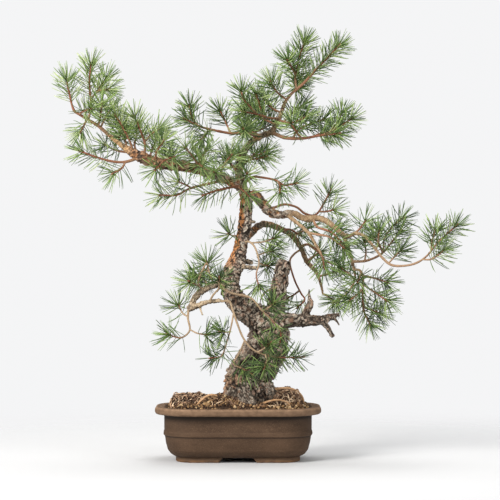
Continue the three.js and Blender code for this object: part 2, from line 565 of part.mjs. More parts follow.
// Distance between two straight stretches.
function stretchDistance(a, b, c, d) {
  const u = b.clone().sub(a);
  const v = d.clone().sub(c);
  const w = a.clone().sub(c);
  const uu = u.lengthSq();
  const uv = u.dot(v);
  const vv = v.lengthSq();
  const uw = u.dot(w);
  const vw = v.dot(w);
  const slant = uu * vv - uv * uv;
  let s = slant > 1e-9 ? THREE.MathUtils.clamp((uv * vw - vv * uw) / slant, 0, 1) : 0;
  const t = THREE.MathUtils.clamp((uv * s + vw) / vv, 0, 1);
  s = THREE.MathUtils.clamp((uv * t - uw) / uu, 0, 1);
  return w.addScaledVector(u, s).addScaledVector(v, -t).length();
}

// Everything that a needle has to miss: straight stretches with a radius and the spray they are in.
const taken = [];

function take(a, b, radius, owner) {
  const middle = a.clone().add(b).divideScalar(2);
  taken.push({ a, b, radius, owner, middle, half: a.distanceTo(b) / 2 });
}

function takePath(path, radii, steps, owner) {
  for (let i = 0; i < steps; i++) {
    const radius = Math.max(radiusAt(radii, i / steps), radiusAt(radii, (i + 1) / steps));
    take(path.getPoint(i / steps), path.getPoint((i + 1) / steps), radius, owner);
  }
}

// A needle may touch its own spray only near its root.
function isFree(root, tip, owner) {
  const clear = root.clone().lerp(tip, 0.2);
  const middle = clear.clone().add(tip).divideScalar(2);
  const half = clear.distanceTo(tip) / 2;
  return taken.every((other) => {
    const own = other.owner === owner;
    const room = other.radius + (own ? 0.5 : NEEDLE_RADIUS + CLEARANCE);
    if (middle.distanceTo(other.middle) > half + other.half + room) return true;
    return stretchDistance(own ? clear : root, tip, other.a, other.b) > room;
  });
}

function needleSolid(root, direction, length) {
  const cone = new THREE.ConeGeometry(NEEDLE_RADIUS, length, 3);
  cone.translate(0, length / 2, 0);
  cone.applyQuaternion(new THREE.Quaternion().setFromUnitVectors(new THREE.Vector3(0, 1, 0), direction));
  cone.translate(root.x, root.y, root.z);
  return toSolid(cone);
}

// A needle leaves its twig through the middle of one of the flat faces between two rings, so that
// its three sides cross no edge of the twig.
function sideGate({ rings, steps, path }, t, face) {
  const row = Math.min(Math.floor(t * steps), steps - 1);
  const along = THREE.MathUtils.clamp(t * steps - row, 0.15, 0.85);
  const next = (face + 1) % TWIG_SIDES;
  const edges = [face, next].map((k) => rings[row][k].clone().lerp(rings[row + 1][k], along));
  const gate = edges[0].add(edges[1]).divideScalar(2);
  const tangent = path.getTangent((row + along) / steps);
  const out = gate.clone().sub(path.getPoint(row / steps).lerp(path.getPoint((row + 1) / steps), along));
  out.addScaledVector(tangent, -out.dot(tangent)).normalize();
  return { gate, tangent, out };
}

// The last needle leaves through the middle of the twig's end.
function endGate({ rings, path }) {
  const tangent = path.getTangent(1);
  const out = rings.at(-1)[0].clone().sub(path.getPoint(1)).normalize();
  return { gate: path.getPoint(1), tangent, out };
}

function growNeedle({ gate, tangent, out }, lean, owner) {
  for (let attempt = 0; attempt < NEEDLE_TRIES; attempt++) {
    const slant = lean + between(-0.14, 0.14);
    const turned = out.clone().applyAxisAngle(tangent, between(-0.5, 0.5));
    const direction = tangent.clone().multiplyScalar(Math.cos(slant));
    direction.addScaledVector(turned, Math.sin(slant));
    const root = gate.clone().addScaledVector(direction, -NEEDLE_ROOT);
    const length = NEEDLE_LENGTH * between(0.9, 1.06);
    const tip = root.clone().addScaledVector(direction, length);
    if (isFree(root, tip, owner)) {
      take(root.clone().lerp(tip, 0.15), tip, NEEDLE_RADIUS, owner);
      return needleSolid(root, direction, length);
    }
  }
  return null;
}

// The needles wind round the leafy part of a twig and lie closer to its line towards the tip.
function needlesOn(twig, owner) {
  const leafy = twig.path.getLength() * (1 - twig.leafyFrom);
  const count = Math.max(Math.round(leafy / NEEDLE_SPACING), 2);
  const needles = [growNeedle(endGate(twig), 0.6, owner)];
  for (let i = 0; i < count; i++) {
    const share = i / (count - 1);
    const t = THREE.MathUtils.lerp(twig.leafyFrom, 0.98, share);
    const lean = THREE.MathUtils.lerp(1.2, 0.85, share ** 2);
    needles.push(growNeedle(sideGate(twig, t, (3 * i + (i >> 2)) % TWIG_SIDES), lean, owner));
  }
  return needles.filter((needle) => needle !== null);
}

function buildSprays(woodHole) {
  const twigs = Object.entries(SPRAYS).map(([name, list]) => ({
    name,
    list: list.map(([points, start, leafyFrom], index) => {
      const steps = points.length - 1;
      const thick = points.map((_, i) => Math.max(THREE.MathUtils.lerp(start, 1.5, i / steps), TWIG_RADIUS));
      const radii = index === 0 ? thick : [FORK_RADIUS, ...thick.slice(1)];
      const rings = limbRings(points, radii, { steps, sides: TWIG_SIDES });
      return { rings, radii, steps, leafyFrom, path: smoothPath(points) };
    }),
  }));
  for (const { name, list } of twigs) {
    for (const twig of list) takePath(twig.path, twig.radii, twig.steps, name);
  }
  return twigs.map(({ name, list }) => {
    const pieces = [];
    for (const twig of list) pieces.push(toSolid(loft(twig.rings)), ...needlesOn(twig, name));
    return { name, solid: largest(join(pieces).subtract(woodHole)) };
  });
}

// Assembly

const bonsai = new THREE.Group();

function place(name, solid, color, roughness) {
  const material = new THREE.MeshStandardMaterial({ color, roughness, metalness: 0 });
  const mesh = new THREE.Mesh(toGeometry(solid), material);
  mesh.name = name;
  bonsai.add(mesh);
}

for (const { limb, steps } of woodLimbs()) takePath(smoothPath(places(limb)), radiiOf(limb), steps, "wood");

const woodHole = buildWood(CLEARANCE);
place("pot", buildPot(), 0x7a6453, 0.85);
place("drain_screen_left", buildScreen(-DRAIN_X), 0x2b2f2c, 0.6);
place("drain_screen_right", buildScreen(DRAIN_X), 0x2b2f2c, 0.6);
place("soil", buildSoil(woodHole), 0x8a6b3d, 0.95);
place("wood", buildWood(0), 0x75604f, 0.9);
for (const { name, solid } of buildSprays(woodHole)) place(`spray_${name}`, solid, 0x5c7a45, 0.6);

// The origin is on the ground under the middle of the whole plant's box.
const box = new THREE.Box3().setFromObject(bonsai);
const middle = box.getCenter(new THREE.Vector3());
bonsai.position.set(-middle.x, -middle.y, -box.min.z);

const standing = new THREE.Group();
standing.add(bonsai);

export default standing;
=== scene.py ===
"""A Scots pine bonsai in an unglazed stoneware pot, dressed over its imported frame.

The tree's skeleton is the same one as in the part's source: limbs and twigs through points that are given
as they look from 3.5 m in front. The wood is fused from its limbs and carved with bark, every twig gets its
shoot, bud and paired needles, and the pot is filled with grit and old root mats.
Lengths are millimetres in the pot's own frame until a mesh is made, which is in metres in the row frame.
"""

import logging
import math
from dataclasses import dataclass, field
from enum import Enum

import bpy
import numpy as np
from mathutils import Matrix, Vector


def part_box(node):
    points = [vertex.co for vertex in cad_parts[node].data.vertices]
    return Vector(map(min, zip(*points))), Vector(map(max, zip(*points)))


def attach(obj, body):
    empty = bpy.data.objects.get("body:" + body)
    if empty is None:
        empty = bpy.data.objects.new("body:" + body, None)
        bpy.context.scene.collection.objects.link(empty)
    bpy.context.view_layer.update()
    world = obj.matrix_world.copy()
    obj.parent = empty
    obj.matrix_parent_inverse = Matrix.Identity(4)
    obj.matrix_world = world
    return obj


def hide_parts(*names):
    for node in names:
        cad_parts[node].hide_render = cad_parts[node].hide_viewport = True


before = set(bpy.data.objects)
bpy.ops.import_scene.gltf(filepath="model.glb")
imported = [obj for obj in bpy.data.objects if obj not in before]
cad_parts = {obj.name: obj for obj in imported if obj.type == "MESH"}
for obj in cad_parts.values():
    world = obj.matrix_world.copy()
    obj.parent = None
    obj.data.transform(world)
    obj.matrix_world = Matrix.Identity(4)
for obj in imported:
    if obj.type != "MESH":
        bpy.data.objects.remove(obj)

log = logging.getLogger("bonsai")

Array = np.ndarray
Socket = bpy.types.NodeSocket
Material = bpy.types.Material
Triple = tuple[float, float, float]
Color = tuple[float, float, float]
Stops = tuple[tuple[float, Color], ...]

MM = 0.001
EYE_X = 22.0
EYE_Z = 380.0
EYE_DISTANCE = 3500.0
GOLDEN_ANGLE = 2.39996

AXIS_PRIMES = (73856093, 19349663, 83492791)
SALT_PRIME = 2654435761
SHIFTS_AND_FACTORS = ((13, 1274126177), (15, 668265263))
LAST_SHIFT = 12
LOW_31_BITS = 0x7FFFFFFF
LOW_24_BITS = 0xFFFFFF


# Numbers from places


def mix(low: Array | float, high: Array | float, share: Array | float) -> Array:
    """Straight blend from low to high."""
    return low + (high - low) * share


def soft_step(value: Array, low: float, high: float) -> Array:
    """Soft step 3t^2 - 2t^3 that is 0 below low and 1 above high."""
    t = np.clip((value - low) / (high - low), 0.0, 1.0)
    return t * t * (3.0 - 2.0 * t)


def unit(vectors: Array) -> Array:
    """The vectors with a length of one."""
    return vectors / np.maximum(np.linalg.norm(vectors, axis=-1, keepdims=True), 1e-9)


def scatter(cells: Array, salt: int) -> Array:
    """Gives each whole-number cell an even random number.

    The three coordinates are multiplied by large primes, mixed bit by bit and cut to 24 bits.

    Args:
        cells: whole numbers, shape (..., 3).
        salt: another number gives another field.

    Returns:
        Numbers from 0 to 1, shape (...).
    """
    whole = cells.astype(np.int64)
    h = salt * SALT_PRIME
    for axis, prime in enumerate(AXIS_PRIMES):
        h = h ^ whole[..., axis] * prime
    for shift, factor in SHIFTS_AND_FACTORS:
        h = (h ^ (h >> shift)) * factor & LOW_31_BITS
    return ((h ^ (h >> LAST_SHIFT)) & LOW_24_BITS) / LOW_24_BITS


def noise(points: Array, salt: int = 0) -> Array:
    """Smooth random field: cell corners' numbers blended by 3t^2 - 2t^3 along each axis.

    Args:
        points: places in units of one cell, shape (n, 3).
        salt: another number gives another field.

    Returns:
        Numbers from -1 to 1, shape (n,).
    """
    base = np.floor(points)
    t = points - base
    t = t * t * (3.0 - 2.0 * t)
    total = np.zeros(len(points))
    for corner in np.ndindex(2, 2, 2):
        weight = np.prod(np.where(corner, t, 1.0 - t), axis=1)
        total += weight * scatter(base + corner, salt)
    return 2.0 * total - 1.0


def layered(points: Array, salt: int = 0, layers: int = 3) -> Array:
    """Sum of noise at doubled pitch and halved strength, from about -1 to 1."""
    total = sum(noise(points * 2.0**i, salt + i) / 2.0**i for i in range(layers))
    return total / (2.0 - 0.5 ** (layers - 1))


@dataclass
class Tiles:
    """Rough cells that fill space, one round each jittered seed.

    For each place there is its distance from its cell's edge, the cell's own random number from 0 to 1,
    and the place within the cell along the third axis.
    """

    edge: Array
    tag: Array
    rise: Array

    def height(self, level: float, own: float, slope: float) -> Array:
        """Height of each cell: a soft step up from its edge, times a level of its own that falls along it."""
        return soft_step(self.edge, 0.0, 0.14) * (level + own * self.tag - slope * np.clip(self.rise, -0.5, 0.5))


def tiles(points: Array, salt: int) -> Tiles:
    """Splits space into cells round one jittered seed in each unit cube.

    Args:
        points: places in units of one cell, shape (n, 3).
        salt: another number gives another pattern.

    Returns:
        Each place's cell, as arrays of shape (n,).
    """
    base = np.floor(points)
    first = np.full(len(points), np.inf)
    second = np.full(len(points), np.inf)
    tag = np.zeros(len(points))
    rise = np.zeros(len(points))
    for step in np.ndindex(3, 3, 3):
        cell = base + np.array(step) - 1.0
        seed = cell + np.stack([scatter(cell, salt + k) for k in range(3)], axis=1)
        away = points - seed
        distance = np.linalg.norm(away, axis=1)
        nearest = distance < first
        second = np.where(nearest, first, np.minimum(second, distance))
        first = np.where(nearest, distance, first)
        tag = np.where(nearest, scatter(cell, salt + 7), tag)
        rise = np.where(nearest, away[:, 2], rise)
    return Tiles(second - first, tag, rise)


# Curves and skins


def spot(points: Array) -> Array:
    """Turns places as they look from the eye into true places.

    A place that lies deeper stands further out from the eye's axis, in the ratio of the distances.

    Args:
        points: x across, y the depth behind the middle of the pot, z up, shape (n, 3).

    Returns:
        True places in the pot's frame, shape (n, 3).
    """
    spread = 1.0 + points[:, 1] / EYE_DISTANCE
    x = EYE_X + (points[:, 0] - EYE_X) * spread
    z = EYE_Z + (points[:, 2] - EYE_Z) * spread
    return np.stack([x, points[:, 1], z], axis=1)


def smooth_path(points: Array, t: Array) -> Array:
    """Smooth curve through points: a cubic whose slope at each is half the way between its neighbours.

    Args:
        points: places or any other values that the curve passes, shape (n, k).
        t: shares of the curve from 0 to 1, each stretch between two points taking the same share.

    Returns:
        The curve at t, shape (len(t), k).
    """
    padded = np.vstack([2 * points[0] - points[1], points, 2 * points[-1] - points[-2]])
    place = np.clip(t, 0.0, 1.0) * (len(points) - 1)
    index = np.minimum(place.astype(int), len(points) - 2)
    u = (place - index)[:, None]
    a, b, c, d = (padded[index + k] for k in range(4))
    return b + 0.5 * u * (c - a + u * (2 * a - 5 * b + 4 * c - d + u * (3 * (b - c) + d - a)))


def linear(values: Array, t: Array) -> Array:
    """Values that are linear between evenly spaced stations, at shares t."""
    return np.interp(t * (len(values) - 1), np.arange(len(values)), values)


def walked(path: Array) -> Array:
    """The length of a path up to each of its places, shape (n,)."""
    return np.concatenate([[0.0], np.cumsum(np.linalg.norm(np.diff(path, axis=0), axis=1))])


def frames_of(paths: Array) -> tuple[Array, Array, Array]:
    """Gives each station of each path a tangent and two directions across it.

    The first is the tangent crossed with the axis that the path keeps furthest from.

    Args:
        paths: shape (n, stations, 3).

    Returns:
        Tangent, side and up, each of the same shape, with side x up = tangent.
    """
    tangent = unit(np.gradient(paths, axis=1))
    axis = np.eye(3)[np.argmin(np.abs(tangent).max(axis=1), axis=1)]
    side = unit(np.cross(tangent, axis[:, None, :]))
    return tangent, side, np.cross(tangent, side)


def round_angles(count: int) -> Array:
    """Angles of even places round a circle, shape (count,)."""
    return 2.0 * np.pi * np.arange(count) / count


def spokes(side: Array, up: Array, angles: Array) -> Array:
    """Directions cos(a) side + sin(a) up, with the angles along a new last axis but one."""
    return np.cos(angles)[:, None] * side[..., None, :] + np.sin(angles)[:, None] * up[..., None, :]


def strip(rows: int, count: int, turned: bool = False) -> Array:
    """Squares between rings of points that lie one after the other.

    A square's corners are point i and the next of a ring, then the same two of the next ring, backwards.

    Args:
        rows: how many rings.
        count: points in each ring.
        turned: whether the squares face the other way.

    Returns:
        Corner numbers, shape ((rows - 1) * count, 4).
    """
    row, i = np.meshgrid(np.arange(rows - 1), np.arange(count), indexing="ij")
    this, after = row * count + i, row * count + (i + 1) % count
    quads = np.stack([this, after, after + count, this + count], -1).reshape(-1, 4)
    return quads[:, [0, 3, 2, 1]] if turned else quads


def fan(pole: int, first: int, count: int, turned: bool = False) -> Array:
    """Triangles between a pole and a ring of points.

    Args:
        pole: the pole's number.
        first: the number of the ring's first point.
        count: points in the ring.
        turned: whether the triangles face the other way.

    Returns:
        Corner numbers, shape (count, 3).
    """
    ring = first + np.arange(count)
    after = first + (np.arange(count) + 1) % count
    return np.stack([np.full(count, pole), *((after, ring) if turned else (ring, after))], axis=1)


@dataclass
class Skin:
    """Points in millimetres, faces of three or four corners, and values marked on the points."""

    points: Array
    faces: list[Array]
    marks: dict[str, Array] = field(default_factory=dict)
    paint: int = 0

    def marked(self, **marks: Array | float) -> "Skin":
        """Marks values on every point, and returns the skin."""
        for name, value in marks.items():
            self.marks[name] = np.broadcast_to(np.asarray(value, float), len(self.points)).copy()
        return self


def bundle(paths: Array, radii: Array, sides: int, turn: float = 0.0) -> Skin:
    """Closed tubes along many paths at once.

    Point (i, j, k) is station j of path i plus its radius times cos(a) side + sin(a) up, where a is the
    k-th of the sides' angles. A pole closes each end.

    Args:
        paths: shape (n, stations, 3).
        radii: shape (n, stations) or (n, stations, sides).
        sides: points round each ring.
        turn: the first angle.

    Returns:
        The tubes' skin, with the marks along (0 to 1 from start to end) and tube (each tube's number).
    """
    count, stations, _ = paths.shape
    _, side, up = frames_of(paths)
    reach = radii[..., None] if radii.ndim == 2 else radii
    rings = paths[:, :, None] + reach[..., None] * spokes(side, up, turn + round_angles(sides))
    each = stations * sides + 2
    points = np.concatenate([rings.reshape(count, -1, 3), paths[:, :1], paths[:, -1:]], axis=1)
    start = fan(each - 2, 0, sides, turned=True)
    end = fan(each - 1, (stations - 1) * sides, sides)
    offsets = (np.arange(count) * each)[:, None, None]
    faces = [(strip(stations, sides)[None] + offsets).reshape(-1, 4)]
    faces.append((np.concatenate([start, end])[None] + offsets).reshape(-1, 3))
    along = np.repeat(np.linspace(0.0, 1.0, stations), sides)
    along = np.tile(np.concatenate([along, [0.0, 1.0]]), count)
    skin = Skin(points.reshape(-1, 3), faces)
    return skin.marked(along=along, tube=np.repeat(np.arange(count), each))


def copies(shape: Array, faces: Array, places: Array, turns: Array, scales: Array) -> Skin:
    """Copies of one small shape: each point is place + turn @ (scale * point).

    Args:
        shape: the shape's points, (p, 3).
        faces: its faces, (f, corners).
        places: (n, 3).
        turns: rotations, (n, 3, 3).
        scales: (n, 3).

    Returns:
        The copies' skin.
    """
    points = np.einsum("nij,npj->npi", turns, shape[None] * scales[:, None]) + places[:, None]
    offsets = (np.arange(len(places)) * len(shape))[:, None, None]
    return Skin(points.reshape(-1, 3), [(faces[None] + offsets).reshape(-1, faces.shape[1])])


def random_turns(rng: np.random.Generator, count: int) -> Array:
    """Even random rotations from unit quaternions, shape (count, 3, 3)."""
    w, x, y, z = unit(rng.normal(size=(count, 4))).T
    rows = [
        [1 - 2 * (y * y + z * z), 2 * (x * y - w * z), 2 * (x * z + w * y)],
        [2 * (x * y + w * z), 1 - 2 * (x * x + z * z), 2 * (y * z - w * x)],
        [2 * (x * z - w * y), 2 * (y * z + w * x), 1 - 2 * (x * x + y * y)],
    ]
    return np.moveaxis(np.array(rows), -1, 0)


def pot_middle() -> Array:
    """The middle of the pot, on the ground, in metres in the row frame."""
    lows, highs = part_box("pot")
    return np.array([(lows[0] + highs[0]) / 2, (lows[1] + highs[1]) / 2, 0.0])


def placed(name: str, data: bpy.types.ID) -> bpy.types.Object:
    """A new object in the scene that shows some data."""
    thing = bpy.data.objects.new(name, data)
    bpy.context.scene.collection.objects.link(thing)
    return thing


def piece(name: str, skins: list[Skin], paints: list[Material], smooth: bool = True) -> bpy.types.Object:
    """Makes one object of some skins, in metres in the row frame, at the origin.

    Args:
        name: the object's name.
        skins: each has the number of its paint.
        paints: the materials that those numbers mean.
        smooth: whether faces are shaded as one soft surface.

    Returns:
        The new object.
    """
    points = np.concatenate([s.points for s in skins]) * MM + pot_middle()
    starts = np.cumsum([0] + [len(s.points) for s in skins[:-1]])
    corners, sizes, slots = [], [], []
    for skin, start in zip(skins, starts):
        for faces in skin.faces:
            corners.append((faces + start).ravel())
            sizes.append(np.full(len(faces), faces.shape[1]))
            slots.append(np.full(len(faces), skin.paint))
    sizes = np.concatenate(sizes)
    mesh = bpy.data.meshes.new(name)
    mesh.vertices.add(len(points))
    mesh.vertices.foreach_set("co", points.ravel())
    mesh.loops.add(int(sizes.sum()))
    mesh.loops.foreach_set("vertex_index", np.concatenate(corners).astype(np.int32))
    mesh.polygons.add(len(sizes))
    mesh.polygons.foreach_set("loop_start", (np.cumsum(sizes) - sizes).astype(np.int32))
    mesh.polygons.foreach_set("material_index", np.concatenate(slots).astype(np.int32))
    mesh.polygons.foreach_set("use_smooth", np.full(len(sizes), smooth))
    for paint in paints:
        mesh.materials.append(paint)
    for mark in sorted({m for s in skins for m in s.marks}):
        values = [s.marks.get(mark, np.zeros(len(s.points))) for s in skins]
        layer = mesh.attributes.new(mark, "FLOAT", "POINT")
        layer.data.foreach_set("value", np.concatenate(values).astype(np.float32))
    mesh.update(calc_edges=True)
    mesh.validate()
    thing = placed(name, mesh)
    log.info("%s: %d points, %d triangles", name, len(points), int((sizes - 2).sum()))
    return thing


def dressed(thing: bpy.types.Object, slot: str, *nodes: str) -> bpy.types.Object:
    """Lets a piece ride on the one body and stand for nodes, and returns it."""
    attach(thing, "root")
    if nodes:
        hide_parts(*nodes)
    return thing


# Skeleton: a limb is a list of points [x, depth, z, radius] as they look from the eye

TRUNK: list[list[float]] = [
    [21, 0, 86, 40], [20, 0, 104, 46], [20, 0, 120, 45], [17, 0, 140, 40],
    [24, 0, 160, 38], [39, 0, 180, 37], [50, 0, 200, 37.5], [54, 0, 220, 35.5], [56, -1, 238, 33.5],
    [46, -3, 251, 29.5], [27, -5, 262, 23.5], [6, -8, 278, 20], [-9, -10, 297, 18.5], [-15, -9, 318, 17],
    [-12, -8, 338, 16.5], [-3, -5, 358, 15.5], [4, -2, 382, 12.8], [8, 0, 405, 12.2], [13, 3, 435, 11.5],
    [15, 6, 465, 12], [15, 8, 484, 11.5],
]

DEAD_WOOD: list[list[list[float]]] = [
    [[64, 0, 240, 18], [67, 3, 264, 17.5], [71, 6, 290, 15.5], [76, 10, 320, 14], [81, 12, 345, 12.8],
    [85, 13, 361, 10.5]],
    [[66, -4, 248, 16], [86, -6, 252, 14.5], [105, -7, 252, 12.5], [130, -8, 252, 10.2], [150, -9, 253, 9],
    [166, -10, 258, 6.2], [184, -12, 263, 3.4]],
    [[117, -8, 254, 8], [125, -6, 270, 7], [131, -4, 283, 6.5], [129, -2, 296, 3], [129, 0, 309, 1.4]],
    [[150, -10, 253, 6], [160, -13, 243, 5], [173, -17, 222, 4.2]],
    [[164, -11, 259, 3.6], [177, -15, 253, 2.6], [184, -17, 243, 1.5]],
    [[-8, -8, 353, 5], [15, -16, 349, 4.2], [34, -20, 347, 4]],
    [[-4, 0, 361, 6], [14, 8, 359, 5], [27, 10, 357, 4]],
    [[12, 3, 432, 3.6], [32, -2, 431, 3]],
    [[72, 4, 313, 2], [52, -6, 306, 1.8], [42, -12, 294, 1.6], [40, -15, 279, 1.4]],
]

BRANCHES: dict[str, list[list[float]]] = {
    "right": [[14, 10, 478, 10], [32, 3, 478, 9.5], [44, -6, 465, 9], [60, -14, 448, 8.5], [80, -17, 444, 6.8],
    [100, -20, 447, 6.2], [122, -20, 437, 6], [146, -23, 438, 5.8], [166, -29, 429, 5.2],
    [194, -38, 406, 4.2],
    [214, -45, 410, 3.4], [230, -52, 405, 3.1], [246, -58, 386, 2.8]],
    "right_hanging": [[192, -38, 408, 3.8], [199, -29, 388, 3.4], [208, -14, 357, 3], [213, -4, 330, 2.4]],
    "right_inner": [[90, -20, 443, 4], [104, -41, 432, 3.6], [127, -55, 412, 3.2], [141, -61, 390, 2.8],
    [149, -64, 377, 2.5]],
    "right_behind": [[8, 0, 396, 7.5], [22, 29, 410, 6.8], [44, 52, 427, 6], [72, 70, 421, 5.6],
    [98, 81, 406, 5.4],
    [114, 87, 384, 5], [125, 87, 359, 4.4], [142, 84, 340, 3.8], [151, 78, 315, 2.8], [154, 75, 299, 2]],
    "crown": [[14, 10, 474, 9.5], [8, 17, 495, 8.6], [2, 23, 515, 8], [2, 29, 535, 7.6], [10, 32, 558, 7],
    [26, 29, 578, 6.4], [44, 20, 588, 5.8], [60, 12, 595, 5.2], [74, 9, 617, 4.2], [85, 9, 650, 3.2]],
    "left": [[14, 9, 484, 9.5], [-8, -3, 502, 8.5], [-48, -20, 518, 8.2], [-92, -35, 531, 8], [-142, -46, 537, 8],
    [-160, -51, 543, 8.2], [-176, -55, 549, 8.4], [-190, -57, 556, 6.6], [-203, -58, 564, 5],
    [-218, -59, 575, 4], [-236, -61, 590, 3.4]],
    "low_left": [[-14, -14, 316, 8.5], [-28, -20, 319, 7.2], [-44, -32, 317, 6.6], [-56, -39, 312, 6.2],
    [-68, -46, 304, 5.8], [-78, -52, 294, 5.6], [-84, -57, 283, 5.4], [-90, -58, 272, 5.6]],
    "low_left_return": [[-90, -58, 272, 5.2], [-66, -64, 282, 4.6], [-42, -67, 288, 3.8], [-28, -68, 287, 3]],
    "low_left_stub": [[-68, -62, 281, 2.4], [-68, -65, 272, 2], [-64, -68, 261, 1.6]],
}

ROOTS: list[list[list[float]]] = [
    [[12, -20, 130, 23], [15, -42, 106, 17], [19, -54, 88, 9]],
    [[46, -14, 130, 17], [68, -30, 106, 10], [80, -40, 88, 6]],
    [[44, 14, 129, 18], [70, 24, 108, 10], [86, 30, 88, 6]],
    [[12, 24, 130, 20], [10, 46, 108, 11], [10, 56, 88, 6]],
    [[-4, 8, 124, 16], [-24, 22, 104, 10], [-40, 34, 86, 6]],
    [[-2, -18, 128, 15], [-16, -36, 106, 10], [-26, -46, 88, 6]],
]

SURFACE_ROOTS: list[list[list[float]]] = [
    [[26, -46, 94, 3], [46, -56, 102, 2.6], [68, -58, 108, 2.5], [88, -56, 104, 2.2], [99, -54, 90, 2]],
    [[48, -6, 122, 3.4], [78, -16, 129, 2.8], [100, -18, 127, 2.5], [116, -19, 114, 2.3], [121, -19, 90, 2]],
    [[-16, -34, 106, 3], [-46, -45, 117, 2.6], [-64, -49, 110, 2.3], [-80, -50, 92, 2]],
]

# Sprays: a twig is [points, radius at its start, share of its length where needles begin]

